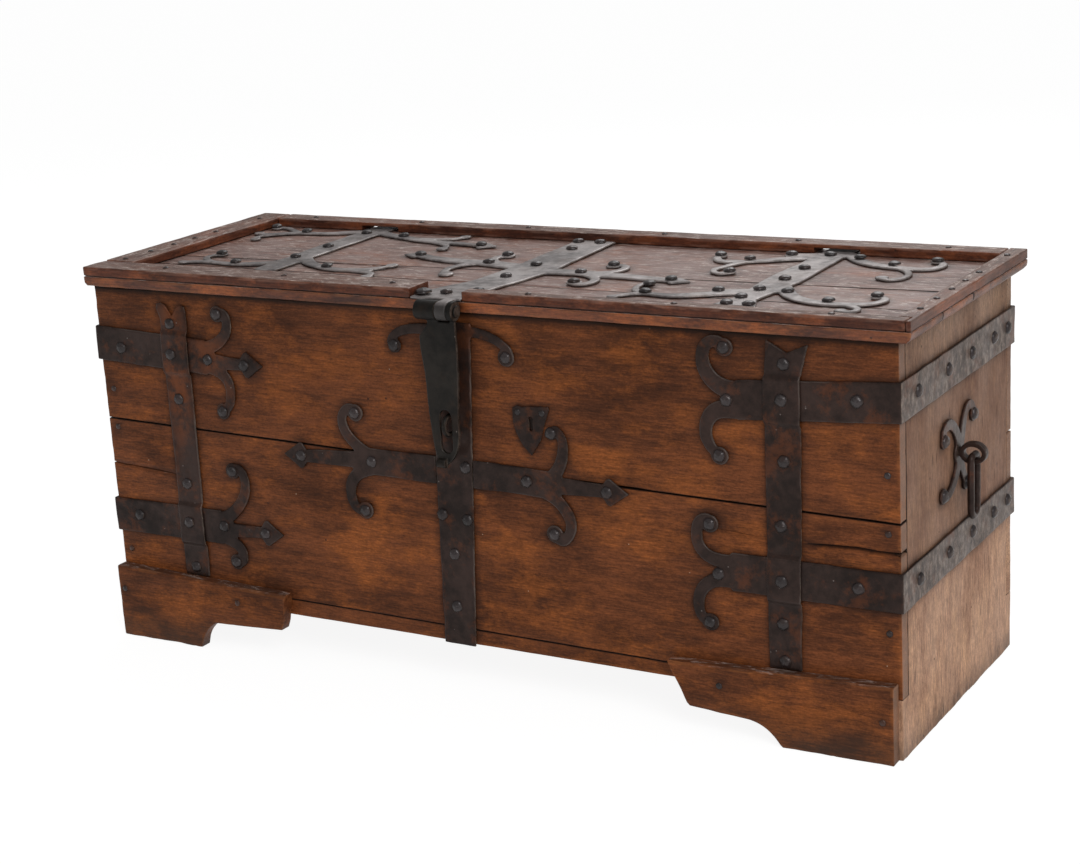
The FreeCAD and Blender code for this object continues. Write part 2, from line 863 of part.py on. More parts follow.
def strap_rest(word, side, centre_x, step):
    """The height at which an upright strap ends, a hair above the foot's top."""
    outer = float(end_x - named(f"foot_{word}_inset"))
    reach = outer - side * (float(centre_x) + step * ON_FRONT.across)
    return float(foot_top(word, reach)) + float(named("lid_gap"))


foot_z = strap_rest("left", -1, left_x, 0)
rise = head_z - foot_z
band_strap(
    "front_strap_left",
    left_x,
    [
        (-23, strap_rest("left", -1, left_x, -23)),
        (22, strap_rest("left", -1, left_x, 22)),
        (27, head_z - 8 * up),
        (25, head_z + 1 * up),
        (19, head_z + 4 * up),
        (12, head_z + 1 * up),
        (7, head_z - 5 * up),
        (0, head_z - 15 * up),
        (-7, head_z - 5 * up),
        (-12, head_z + 2 * up),
        (-19, head_z + 5 * up),
        (-27, head_z + 3 * up),
        (-29, head_z - 4 * up),
        (-23, head_z - 20 * up),
    ],
    [low_left_z, band_left_z],
    [
        (-4, head_z - 27 * up, on_wood),
        (-5, band_left_z - 1 * up, on_band),
        (-1, foot_z + rise * 0.663, on_wood),
        (-2, foot_z + rise * 0.348, on_wood),
        (-3, low_left_z + 3 * up, on_band),
        (-1, foot_z + 14 * up, on_wood),
    ],
)
foot_z = strap_rest("right", 1, right_x, 0)
rise = head_z - foot_z
band_strap(
    "front_strap_right",
    right_x,
    [
        (-26, strap_rest("right", 1, right_x, -26)),
        (21, strap_rest("right", 1, right_x, 21)),
        (29, head_z - 31 * up),
        (40, head_z + 13 * up),
        (10, head_z),
        (-19, head_z + 15 * up),
        (-23, head_z - 40 * up),
    ],
    [low_right_z, band_right_z],
    [
        (6, head_z - 15 * up, on_wood),
        (3, band_right_z + 2 * up, on_band),
        (3, foot_z + rise * 0.666, on_wood),
        (-3, foot_z + rise * 0.462, on_wood),
        (-3, low_right_z - 2 * up, on_band),
        (-4, foot_z + rise * 0.149, on_wood),
        (-2, foot_z + 12 * up, on_wood),
    ],
)

# the middle strap's edges, in steps from the middle of the front: left edge, right edge
STRAP_HEAD = (-38, 28)
STRAP_MIDDLE = (-46, 14)
STRAP_FOOT = (-51, 2)
strap_head_z = float(top_z) - 15 * up
strap_middle_z = float(top_z) - 263 * up
strap_foot_z = float((bottom_low_left + bottom_low_right) / 2) - 2 * up


def centre_strap():
    """The upright middle strap, with two drooping scrolls at its head."""
    rows = ((STRAP_HEAD, strap_head_z), (STRAP_MIDDLE, strap_middle_z), (STRAP_FOOT, strap_foot_z))
    left_edge = [(pair[0] * ON_FRONT.across, z) for pair, z in rows]
    right_edge = [(pair[1] * ON_FRONT.across, z) for pair, z in rows[::-1]]
    anchor = (-5 * ON_FRONT.across, strap_head_z - 18 * up)
    faces = [flat(left_edge + right_edge)]
    left_arm = [(-20, 6), (-50, 5), (-75, 2), (-95, -7), (-102, -17), (-96, -22)]
    right_arm = [(15, 6), (45, 4), (68, -2), (85, -12), (92, -20), (87, -27)]
    faces += scroll(ON_FRONT, anchor, left_arm, 17, 12, 11)
    faces += scroll(ON_FRONT, anchor, right_arm, 17, 12, 13)
    forging("front_strap_centre", lay(thicken(faces, thick), FRONT, (0, front, 0)))
    for rivet in ((5, 338), (-39, 264), (3, 260), (-23, 206), (-25, 126)):
        front_nail(*ON_FRONT.at((0, 0), rivet), on_wood)
    for arm in (left_arm, right_arm):
        front_nail(*ON_FRONT.at(anchor, arm[-1]), on_wood)


centre_strap()


def strap_edge(z, side):
    """Where the middle strap's left (-1) or right (+1) edge lies at a height."""
    share = (strap_head_z - z) / (strap_head_z - strap_middle_z)
    index = 0 if side < 0 else 1
    return (STRAP_HEAD[index] + (STRAP_MIDDLE[index] - STRAP_HEAD[index]) * share) * ON_FRONT.across


def cross_arm(label, side, anchor, arms, rivets):
    """A scrolled arm across the front that butts against the middle strap's edge."""
    z = float(top_z - named("cross_drop"))
    clear = side * float(named("lid_gap"))
    low_z = z - 21 * up
    high_z = z + 21 * up
    faces = [
        flat(
            [
                (strap_edge(low_z, side) + clear, low_z),
                (anchor[0], anchor[1] - 20 * up),
                (anchor[0], anchor[1] + 20 * up),
                (strap_edge(high_z, side) + clear, high_z),
            ]
        )
    ]
    faces += scroll(ON_FRONT, anchor, arms["up"], 22, 13, arms["pad"])
    faces += scroll(ON_FRONT, anchor, arms["down"], 22, 14, 13)
    faces += scroll(ON_FRONT, anchor, arms["stem"], 27, 20)
    faces += leaf(ON_FRONT, anchor, arms["leaf"], side)
    forging(label, lay(thicken(faces, thick), FRONT, (0, front, 0)))
    for rivet in rivets + [arms["up"][-1], arms["down"][-1]]:
        front_nail(*ON_FRONT.at(anchor, rivet), on_wood)


CROSS_LEFT = {
    "pad": 13,
    "up": [(25, 6), (-4, 14), (-22, 28), (-37, 50), (-35, 69), (-22, 78), (-14, 71)],
    "down": [(25, -8), (-2, -14), (-20, -24), (-31, -42), (-30, -64), (-20, -76), (-8, -76)],
    "stem": [(10, 0), (-50, -1), (-105, -3)],
    "leaf": (-114, -3),
}
CROSS_RIGHT = {
    "pad": 9,
    "up": [(-25, 6), (2, 10), (18, 30), (24, 54), (22, 70), (14, 79), (7, 75)],
    "down": [(-25, -8), (2, -15), (18, -28), (29, -46), (28, -67), (15, -80), (4, -71)],
    "stem": [(-10, 0), (40, 0), (84, 0)],
    "leaf": (90, -1),
}
cross_z = float(top_z - named("cross_drop"))
cross_arm(
    "cross_arm_left",
    -1,
    ON_FRONT.at((0, cross_z), (-165, 2)),
    CROSS_LEFT,
    [(10, 0), (-116, -3)],
)
cross_arm(
    "cross_arm_right",
    1,
    ON_FRONT.at((key_x, cross_z), (25, -3)),
    CROSS_RIGHT,
    [(-36, 2), (90, -1)],
)


# ---------------------------------------------------------------------------------------------------------
# the straps of the lid


def lid_nail(x, y):
    """A domed nail on top of a lid strap."""
    drive("lid_nails", CLOUT_NAIL, TOP, (x, y, lid_top_z + iron))


def lid_strap_faces(x, outline, arms, leaves):
    """The flat faces of a lid strap: its bar, its scrolls and its pointed ends, drawn from its middle."""
    faces = [flat(outline)]
    for points, root, tip, pad in arms:
        faces += scroll(ON_LID, (x, 0.0), points, root, tip, pad)
    for place, heading in leaves:
        faces += leaf(ON_LID, (x, 0.0), place, heading, 0.85)
    return faces


def hinge_strap(label, x, outline, arms, leaves, rivets):
    """A lid strap whose rear end is rolled into the two outer knuckles of a hinge."""
    y = float(hinge_y)
    z = float(hinge_z)
    width = float(named("hinge_width"))
    radius = float(named("hinge_radius"))
    clear = float(named("knuckle_gap"))
    x = float(x)
    bar = [(x - width / 2, y), (x + width / 2, y)] + [ON_LID.at((x, 0), corner) for corner in outline]
    shape = lay(thicken(lid_strap_faces(x, bar, arms, leaves), thick), TOP, (0, 0, lid_top_z))
    barrel = rod(radius, width, (x - width / 2, y, z), Vector(1, 0, 0))
    bore = float(named("hinge_pin_radius")) + float(named("pin_clearance"))
    hole = rod(bore, width + 2, (x - width / 2 - 1, y, z), Vector(1, 0, 0))
    third = width / 6
    far = y + radius + 1
    x0 = x - third - clear
    x1 = x + third + clear
    middle = block(x0, x1, y - radius - 0.4, far, z - radius - 1, z + radius + 1)
    forging(label, shape.fuse(barrel).cut(hole).cut(middle).removeSplitter())
    for rivet in rivets:
        lid_nail(*ON_LID.at((x, 0), rivet))


def hinge_leaf(label, x):
    """The fixed half of a hinge: down the back, bent out under the lid and rolled into the middle knuckle."""
    radius = named("hinge_radius")
    lean = hinge_y - hinge_z
    outer_bend = back_y + iron - lean - radius * ROOT_TWO
    inner_bend = back_y - lean - (radius - iron) * ROOT_TWO
    foot = outer_bend - named("leaf_length")
    outline = [
        (back_y, foot),
        (back_y + iron, foot),
        (back_y + iron, outer_bend),
        (hinge_y + radius / ROOT_TWO, hinge_z - radius / ROOT_TWO),
        (hinge_y + (radius - iron) / ROOT_TWO, hinge_z - (radius - iron) / ROOT_TWO),
        (back_y, inner_bend),
    ]
    width = named("hinge_width")
    third = width / 3
    start = x - width / 2
    clear = named("knuckle_gap")
    body = slab(label, "YZ", start, width, outline)
    feature(body, "Pad", "YZ", x - third / 2 + clear, third - clear * 2, (hinge_y, hinge_z, radius))
    shoulder = hinge_y - radius - clear
    window = box_outline(shoulder, hinge_z - radius - clear * 2, hinge_y + radius * 2, hinge_z + radius * 2)
    feature(body, "Pocket", "YZ", start, third + clear, window)
    feature(body, "Pocket", "YZ", start + third * 2 - clear, third + clear, window)
    bore = named("hinge_pin_radius") + named("pin_clearance")
    feature(body, "Pocket", "YZ", start, width, (hinge_y, hinge_z, bore))
    for share in (0.12, 0.45, 0.78):
        z = float(foot) + share * float(named("leaf_length"))
        drive("back_nails", BIG_NAIL, BACK, (x, back_y + iron, z))


def headed_pin(label, x0, x1, y, z, radius, head):
    """A pin along X with a peened head at each end."""
    y = float(y)
    z = float(z)
    radius = float(radius)
    head = float(head)
    shape = rod(radius, x1 - x0, (x0, y, z), Vector(1, 0, 0))
    for start in (x0 - head, x1):
        shape = shape.fuse(rod(radius * 1.4, head, (start, y, z), Vector(1, 0, 0)))
    forging(label, shape.removeSplitter())


LEFT_STRAP = {
    "outline": [(22, 60), (25, -125), (4, -135), (-15, -125), (-22, 60)],
    "arms": [
        ([(-3, 180), (-43, 163), (-78, 150), (-118, 143), (-154, 128), (-178, 119), (-192, 125)], 22, 10, 9),
        ([(-113, 146), (-148, 160), (-176, 176), (-192, 173)], 14, 10, 9),
        ([(-128, 140), (-158, 120), (-173, 100), (-168, 83)], 13, 9, 9),
        ([(2, 190), (37, 165), (72, 152), (105, 139), (152, 130), (202, 125), (240, 122)], 24, 12, 0),
        ([(102, 142), (140, 148), (166, 160), (175, 178)], 14, 9, 10),
        ([(137, 134), (167, 119), (187, 103), (190, 85)], 14, 9, 10),
        ([(4, -70), (-23, -82), (-48, -93), (-78, -98), (-118, -95), (-148, -100), (-165, -107)], 24, 10, 8),
        ([(-98, -96), (-133, -85), (-151, -62), (-141, -40)], 14, 9, 10),
        ([(7, -25), (27, -45), (57, -72), (87, -86), (117, -93), (147, -90), (177, -92)], 24, 12, 0),
        ([(117, -93), (152, -86), (177, -68), (185, -47)], 16, 9, 10),
        ([(140, -92), (170, -98), (189, -110), (192, -127)], 14, 9, 10),
    ],
    "leaves": [((240, 121), 1)],
    "rivets": [
        (-3, 162),
        (0, 50),
        (-3, -33),
        (-113, 150),
        (74, 155),
        (240, 120),
        (-73, -93),
        (92, -84),
        (-141, -40),
        (-192, 173),
    ],
}
RIGHT_STRAP = {
    "outline": [(22, 190), (28, 0), (16, -120), (32, -160), (-31, -160), (-20, -120), (-27, 0), (-22, 190)],
    "arms": [
        (
            [
                (0, 165),
                (-28, 155),
                (-58, 138),
                (-88, 118),
                (-113, 105),
                (-140, 103),
                (-155, 118),
                (-158, 138),
            ],
            26,
            12,
            10,
        ),
        ([(-3, 184), (-33, 175), (-58, 167)], 20, 16, 11),
        ([(-100, 112), (-115, 85), (-124, 55), (-118, 30), (-104, 22), (-96, 34)], 14, 9, 10),
        (
            [
                (0, 200),
                (30, 180),
                (49, 158),
                (72, 138),
                (107, 124),
                (140, 118),
                (168, 124),
                (177, 146),
                (162, 171),
            ],
            26,
            12,
            10,
        ),
        ([(112, 123), (142, 103), (153, 75), (147, 50), (134, 43), (124, 53)], 14, 9, 10),
        (
            [
                (-8, -75),
                (-36, -87),
                (-60, -101),
                (-88, -118),
                (-118, -125),
                (-151, -122),
                (-173, -135),
                (-185, -150),
            ],
            26,
            11,
            9,
        ),
        ([(-143, -119), (-170, -108), (-181, -85), (-176, -60)], 14, 9, 10),
        ([(-8, -68), (-38, -75), (-58, -82)], 18, 15, 10),
        (
            [
                (2, -20),
                (27, -52),
                (50, -85),
                (80, -108),
                (112, -116),
                (147, -112),
                (172, -98),
                (178, -76),
                (162, -60),
            ],
            28,
            12,
            10,
        ),
        ([(122, -117), (150, -122), (164, -138), (158, -152), (145, -148)], 14, 9, 9),
    ],
    "leaves": [],
    "rivets": [
        (-1, 175),
        (-1, 80),
        (1, 7),
        (-6, -62),
        (-10, -113),
        (-13, -153),
        (19, -153),
        (-58, 167),
        (-103, 120),
        (-158, 138),
        (49, 165),
        (112, 133),
        (162, 171),
        (-96, 35),
        (-58, -82),
        (-151, -118),
        (-168, -72),
        (37, -66),
        (112, -106),
        (162, -60),
    ],
}
hinge_strap("lid_strap_left", hinge_left_x, *LEFT_STRAP.values())
hinge_strap("lid_strap_right", hinge_right_x, *RIGHT_STRAP.values())
for word, x in (("left", hinge_left_x), ("right", hinge_right_x)):
    hinge_leaf(f"hinge_leaf_{word}", x)
    half = float(named("hinge_width")) / 2 + float(named("knuckle_gap"))
    headed_pin(
        f"hinge_pin_{word}",
        float(x) - half,
        float(x) + half,
        hinge_y,
        hinge_z,
        named("hinge_pin_radius"),
        named("hinge_pin_head"),
    )

hasp_x1 = float(named("hasp_x") + named("hasp_right_reach"))
knuckle_x1 = hasp_x1 - float(named("hasp_right_knuckle"))
knuckle_x0 = knuckle_x1 - float(named("hasp_middle_knuckle"))
hasp_x0 = knuckle_x0 - float(named("hasp_left_knuckle"))


def centre_lid_strap():
    """The middle lid strap: scrolled arms, a wide front end and the middle knuckle of the hasp's hinge."""
    edge = float(lid_front_y)
    rear = float(rim_rear_y) - 2
    clear = float(named("knuckle_gap"))
    radius = float(named("hasp_barrel_radius"))
    y = float(hasp_y)
    z = float(hasp_z)
    sides = [(37, 0), (48, -30), (34, -110), (-34, -110), (-26, -30), (-30, 0)]
    places = [ON_LID.at((0, 0), side) for side in sides]
    corner_x = 1 - float(named("rim_gap_left"))
    outline = [
        (places[5][0], rear),
        (places[0][0], rear),
        places[1],
        places[2],
        (hasp_x1, float(rim_right_y) + 1),
        (hasp_x1, edge),
        (corner_x, edge),
        (corner_x, float(rim_left_y) - 20),
        places[3],
        places[4],
    ]
    arms = [
        ([(10, -12), (-40, -2), (-77, 5), (-120, 8), (-165, 14), (-197, 22), (-214, 30)], 39, 20, 0),
        ([(-50, 4), (-76, 20), (-88, 42), (-78, 62)], 17, 13, 12),
        ([(-84, 2), (-110, -18), (-116, -48), (-100, -78)], 17, 13, 12),
        ([(20, -26), (95, -24), (150, -28), (200, -31), (242, -34)], 34, 22, 0),
        ([(98, -20), (130, -10), (142, 8), (140, 28), (128, 38), (117, 36)], 17, 13, 12),
        ([(98, -32), (126, -45), (140, -68), (136, -90), (125, -94), (117, -85)], 17, 13, 12),
    ]
    leaves = [((-217, 31), -1), ((248, -36), 1)]
    faces = lid_strap_faces(0.0, outline, arms, leaves)
    tongue_x0 = knuckle_x0 + clear
    tongue_x1 = knuckle_x1 - clear
    faces.append(flat([(tongue_x0, edge + 1), (tongue_x1, edge + 1), (tongue_x1, y), (tongue_x0, y)]))
    shape = lay(thicken(faces, thick), TOP, (0, 0, lid_top_z))
    wide = knuckle_x1 - knuckle_x0 - 2 * clear
    barrel = rod(radius, wide, (knuckle_x0 + clear, y, z), Vector(1, 0, 0))
    bore = float(named("hasp_pin_radius")) + float(named("pin_clearance"))
    hole = rod(bore, wide + 2, (knuckle_x0, y, z), Vector(1, 0, 0))
    forging("lid_strap_centre", shape.fuse(barrel).cut(hole).removeSplitter())
    rivets = [
        (-20, 178), (17, 180), (-2, 125), (3, 7), (2, -78),
        (14, -175), (-25, -196), (-77, 5), (-214, 31),
    ]
    rivets += [(95, -24), (117, 36), (245, -35), (-78, 62), (117, -85)]
    for rivet in rivets:
        lid_nail(*ON_LID.at((0, 0), rivet))
    stud_x = corner_x + float(named("stud_head_radius"))
    drive("lid_nails", STUD_NAIL, TOP, (stud_x, edge + 17 * ON_LID.up, lid_top_z + iron))


centre_lid_strap()


# ---------------------------------------------------------------------------------------------------------
# the hasp, its pin and its staple

slot_x = float(named("hasp_x"))
staple_z = float(hasp_z - named("staple_drop"))

# the hasp's edges, in steps from its middle and down from its pin
HASP_RIGHT = [(25, 16), (26, 55), (25, 97), (23, 125), (20.5, 161), (17.5, 195), (12, 208), (-1, 221)]
HASP_LEFT = [(-15, 221), (-19.5, 206), (-24, 174), (-27.3, 130), (-29, 88), (-33, 57), (-33.4, 37)]
HASP_SHOULDERS = [(-19, 20), (-19, 0), (25, 0)]


def hasp():
    """A long slotted hasp: two knuckles, a shouldered blade and a tip curled away from the chest."""
    y = float(hasp_y)
    z = float(hasp_z)
    radius = float(named("hasp_barrel_radius"))
    blade = float(named("hasp_thickness"))
    length = float(named("hasp_length"))
    clear = float(named("knuckle_gap"))
    grid = Grid((hasp_x1 - hasp_x0) / 61.2, -length / 221)
    foot = z - length
    right = [grid.at((slot_x, z), point) for point in HASP_RIGHT]
    left = [grid.at((slot_x, z), point) for point in HASP_LEFT]
    shoulders = [grid.at((slot_x, z), point) for point in HASP_SHOULDERS]
    straight = [left[-1]] + shoulders + [right[0]]
    edges = [smooth(right).toShape(), Part.makeLine(Vector(*right[-1], 0), Vector(*left[0], 0))]
    edges.append(smooth(left).toShape())
    edges += [Part.makeLine(Vector(*a, 0), Vector(*b, 0)) for a, b in zip(straight, straight[1:])]
    face = Part.Face(Part.Wire(edges))
    shape = lay(face.extrude(Vector(0, 0, blade)), FRONT, (0, y + blade / 2, 0))
    curl_radius = blade * 1.15
    curl_y = y - blade / 2 - curl_radius + blade * 0.83
    curl_x = left[0][0]
    curl_length = right[-1][0] - curl_x
    curl = rod(curl_radius, curl_length, (curl_x, curl_y, foot + blade / 3), Vector(1, 0, 0))
    bore = float(named("hasp_pin_radius")) + float(named("pin_clearance"))
    shape = shape.fuse(curl)
    low = z - radius - 3 * clear
    middle = block(knuckle_x0, knuckle_x1, y - 2 * radius, y + 2 * radius, low, z + 2 * radius)
    shape = shape.cut(middle)
    for x0, x1 in ((hasp_x0, knuckle_x0), (knuckle_x1, hasp_x1)):
        shape = shape.fuse(rod(radius, x1 - x0, (x0, y, z), Vector(1, 0, 0)))
    shape = shape.cut(rod(bore, hasp_x1 - hasp_x0 + 2, (hasp_x0 - 1, y, z), Vector(1, 0, 0)))
    half = float(named("hasp_slot_width")) / 2
    slot_top = z - float(named("hasp_slot_drop"))
    slot_low = slot_top - float(named("hasp_slot_length"))
    deep = 4 * blade
    slot_ends = (slot_low + half, slot_top - half)
    shape = shape.cut(block(slot_x - half, slot_x + half, y - deep, y + deep, *slot_ends))
    for centre in slot_ends:
        shape = shape.cut(rod(half, 2 * deep, (slot_x, y - deep, centre), Vector(0, 1, 0)))
    forging("hasp", shape.removeSplitter())
    pin = named("hasp_pin_radius")
    headed_pin("hasp_pin", hasp_x0 - clear, hasp_x1 + clear, y, z, pin, named("hinge_pin_head"))


hasp()


def hasp_staple():
    """A round bar bent to a loop and driven through the front, its loop standing through the hasp's slot."""
    bar = float(named("staple_bar"))
    z = staple_z
    half = float(named("staple_spread")) / 2
    bend = on_wood - float(named("staple_reach")) + bar / 2 + half
    inside = float(inner_front_y) - 0.5
    low = Vector(slot_x, inside, z - half)
    low_bend = Vector(slot_x, bend, z - half)
    tip = Vector(slot_x, bend - half, z)
    high_bend = Vector(slot_x, bend, z + half)
    high = Vector(slot_x, inside, z + half)
    round_end = Part.Arc(low_bend, tip, high_bend).toShape()
    path = Part.Wire([Part.makeLine(low, low_bend), round_end, Part.makeLine(high_bend, high)])
    section = Part.Wire(Part.makeCircle(bar / 2, low, Vector(0, 1, 0)))
    forging("hasp_staple", path.makePipeShell([section], True, False))


hasp_staple()


# ---------------------------------------------------------------------------------------------------------
# the lock: a scutcheon outside, and a box lock behind it whose bolt shoots through a staple under the lid


def escutcheon():
    """A small shield with a scalloped head and a keyhole."""
    x = float(key_x)
    z = float(keyhole_z)
    shield = [
        (-28, 14.5),
        (-21, 18.5),
        (-12, 16.5),
        (-1.5, 18.5),
        (13, 18.8),
        (28, 20),
        (30.5, 16),
        (22, -6),
        (14, -30.5),
        (-1, -52.5),
        (-13.5, -40.5),
        (-24, -22),
        (-28.5, -6),
    ]
    plate = float(named("scutcheon_thickness"))
    outline = flat([ON_FRONT.at((x, z), corner) for corner in shield])
    shape = lay(outline.extrude(Vector(0, 0, plate)), FRONT, (0, front, 0))
    radius = float(named("keyhole_radius"))
    half = float(named("keyhole_slot")) / 2
    shape = shape.cut(rod(radius, 20, (x, front - 10, z), Vector(0, 1, 0)))
    shape = shape.cut(block(x - half, x + half, front - 10, front + 10, key_low_z, z))
    forging("escutcheon", shape)
    for corner in ((-20, 9), (19, 10)):
        u, v = ON_FRONT.at((x, z), corner)
        drive("escutcheon_nails", SMALL_NAIL, FRONT, (u, front - plate, v))


escutcheon()

case_x0 = key_x - named("lock_width") / 2
case_x1 = key_x + named("lock_width") / 2
case_z1 = top_z - named("lock_drop")
case_z0 = case_z1 - named("lock_height")
case_y1 = inner_front_y + named("lock_depth")
sheet_metal = named("lock_sheet")
staple_x = key_x - 12
bolt_z0 = case_z1 - 25
bolt_y1 = case_y1 - sheet_metal - 3
bolt_y0 = bolt_y1 - named("bolt_thickness")


def lock_case():
    """The lock box: open towards the plank, flanged for its nails and slotted for the lid's staple."""
    box = box_outline(case_x0, case_z0, case_x1, case_z1)
    body = slab("lock_case", "XZ", inner_front_y, named("lock_depth"), box)
    flange = named("lock_flange")
    for x0, x1 in ((case_x0 - flange, case_x0 + sheet_metal), (case_x1 - sheet_metal, case_x1 + flange)):
        feature(body, "Pad", "XZ", inner_front_y, sheet_metal, box_outline(x0, case_z0, x1, case_z1))
    hollow = box_outline(
        case_x0 + sheet_metal,
        case_z0 + sheet_metal,
        case_x1 - sheet_metal,
        case_z1 - sheet_metal,
    )
    feature(body, "Pocket", "XZ", inner_front_y, named("lock_depth") - sheet_metal, hollow)
    slot = box_outline(staple_x - 7, inner_front_y + 3, staple_x + 7, case_y1 - sheet_metal)
    feature(body, "Pocket", "XY", case_z1 - sheet_metal * 2, sheet_metal * 2, slot)
    half = float(flange) / 2
    for x in (float(case_x0) - half, float(case_x1) + half):
        for z in (float(case_z0) + 20, float(case_z1) - 20):
            drive("lock_nails", SMALL_NAIL, BACK, (x, inner_front_y + sheet_metal, z))


lock_case()


def lock_bolt():
    """The bolt plate: a nose that passes through the lid's staple, a stem and a talon for the key."""
    travel = named("bolt_travel")
    height = named("bolt_height")
    nose_x = staple_x + 7
    tail_x = case_x1 - sheet_metal - 1
    stem_x0 = key_x + 10
    stem_x1 = key_x + 28
    foot_z0 = keyhole_z + 16
    outline = [
        (nose_x, bolt_z0),
        (stem_x0, bolt_z0),
        (stem_x0, foot_z0 + 10),
        (key_x - 6, foot_z0 + 10),
        (key_x - 6, foot_z0),
        (stem_x1, foot_z0),
        (stem_x1, bolt_z0),
        (tail_x, bolt_z0),
        (tail_x, bolt_z0 + height),
        (nose_x, bolt_z0 + height),
    ]
    body = slab("lock_bolt", "XZ", bolt_y0, named("bolt_thickness"), outline)
    talon = box_outline(key_x, foot_z0, key_x + 7, foot_z0 + 5)
    feature(body, "Pocket", "XZ", bolt_y0, named("bolt_thickness"), talon)
    radius = named("stud_radius") + named("bolt_clearance")
    x = stem_x0 + 4
    z = bolt_z0 + height / 2
    slot = box_outline(x - radius, z - radius, x + travel + radius, z + radius)
    feature(body, "Pocket", "XZ", bolt_y0, named("bolt_thickness"), slot)
    stem = float(named("stud_radius"))
    low_y = float(bolt_y0) - 1
    wall = float(case_y1 - sheet_metal)
    stud = rod(stem, wall - low_y, (x, low_y, z), Vector(0, 1, 0))
    head = rod(stem * 1.7, 2, (x, low_y - 1.3, z), Vector(0, 1, 0))
    forging("lock_studs", stud.fuse(head).removeSplitter())


lock_bolt()


def bolt_guide():
    """Three rails in the case: a roof and a sill for the bolt and a shelf that carries its foot."""
    foot_z0 = float(keyhole_z) + 16
    clear = float(named("bolt_clearance"))
    wall = float(case_y1 - sheet_metal)
    x1 = float(case_x1 - sheet_metal) - 2
    y0 = float(bolt_y0) - 2
    shelf = block(float(key_x) + 12, x1, y0, wall, foot_z0 - clear - 3, foot_z0 - clear)
    upper_low = float(bolt_z0) - clear - 3
    rail = block(float(key_x) + 30, x1, y0, wall, upper_low, upper_low + 3)
    roof_z = float(bolt_z0 + named("bolt_height")) + clear
    roof = block(float(staple_x) + 9, x1, y0, wall, roof_z, roof_z + 3)
    forging("bolt_guides", Part.makeCompound([shelf, rail, roof]))


bolt_guide()


def lid_lock_staple():
    """A plate under the lid with a tongue whose window takes the bolt."""
    x = float(staple_x)
    z1 = float(lid_low_z)
    plate = block(x - 26, x + 26, float(inner_front_y) + 2, float(case_y1) + 6, z1 - 3, z1)
    y0 = float(bolt_y0) - 5
    y1 = float(bolt_y1) + 2.5
    tongue = block(x - 3, x + 3, y0, y1, float(bolt_z0) - 9, z1 - 1)
    low = float(bolt_z0) - 3
    high = float(bolt_z0 + named("bolt_height")) + 3
    window = block(x - 4, x + 4, y0 + 3.5, y1 - 1.3, low, high)
    forging("lid_lock_staple", plate.fuse(tongue).cut(window).removeSplitter())
    for side in (-1, 1):
        drive("staple_nails", SMALL_NAIL, UNDER, (x + side * 18, (y0 + y1) / 2, z1 - 3))


lid_lock_staple()


# ---------------------------------------------------------------------------------------------------------
# the drop handles

handle_y = float(named("handle_y"))
handle_z = float((upper_right_z + lower_right_z) / 2 + named("handle_rise"))

# the handle plate is drawn on a grid that fits between the two bands of the end
BAND_GAP_STEPS = 199
ON_END = Grid(step_deep, (upper_right_z - lower_right_z - named("band_width")) / BAND_GAP_STEPS)
HANDLE_ARMS = [
    [(0, -4), (-6, 19), (-22, 37), (-44, 45), (-60, 38), (-58, 27)],
    [(0, -4), (12, 17), (20, 36), (35, 51), (52, 48), (58, 35)],
    [(0, -4), (-8, -26), (-26, -44), (-47, -52), (-62, -48)],
    [(0, -4), (9, -24), (20, -42), (27, -53)],
]
HANDLE_NAILS = [(58, 35), (27, -53), (-58, 27), (-62, -48)]


def oval(x, z, reach, rise, wide):
    """An oval bar that lies along Y, across the middle of the handle."""
    outline = Part.Ellipse(Vector(0, 0, 0), reach, rise).toShape()
    body = Part.Face(Part.Wire(outline)).extrude(Vector(0, 0, wide))
    return lay(body, FRONT, (x, handle_y + wide / 2, z))


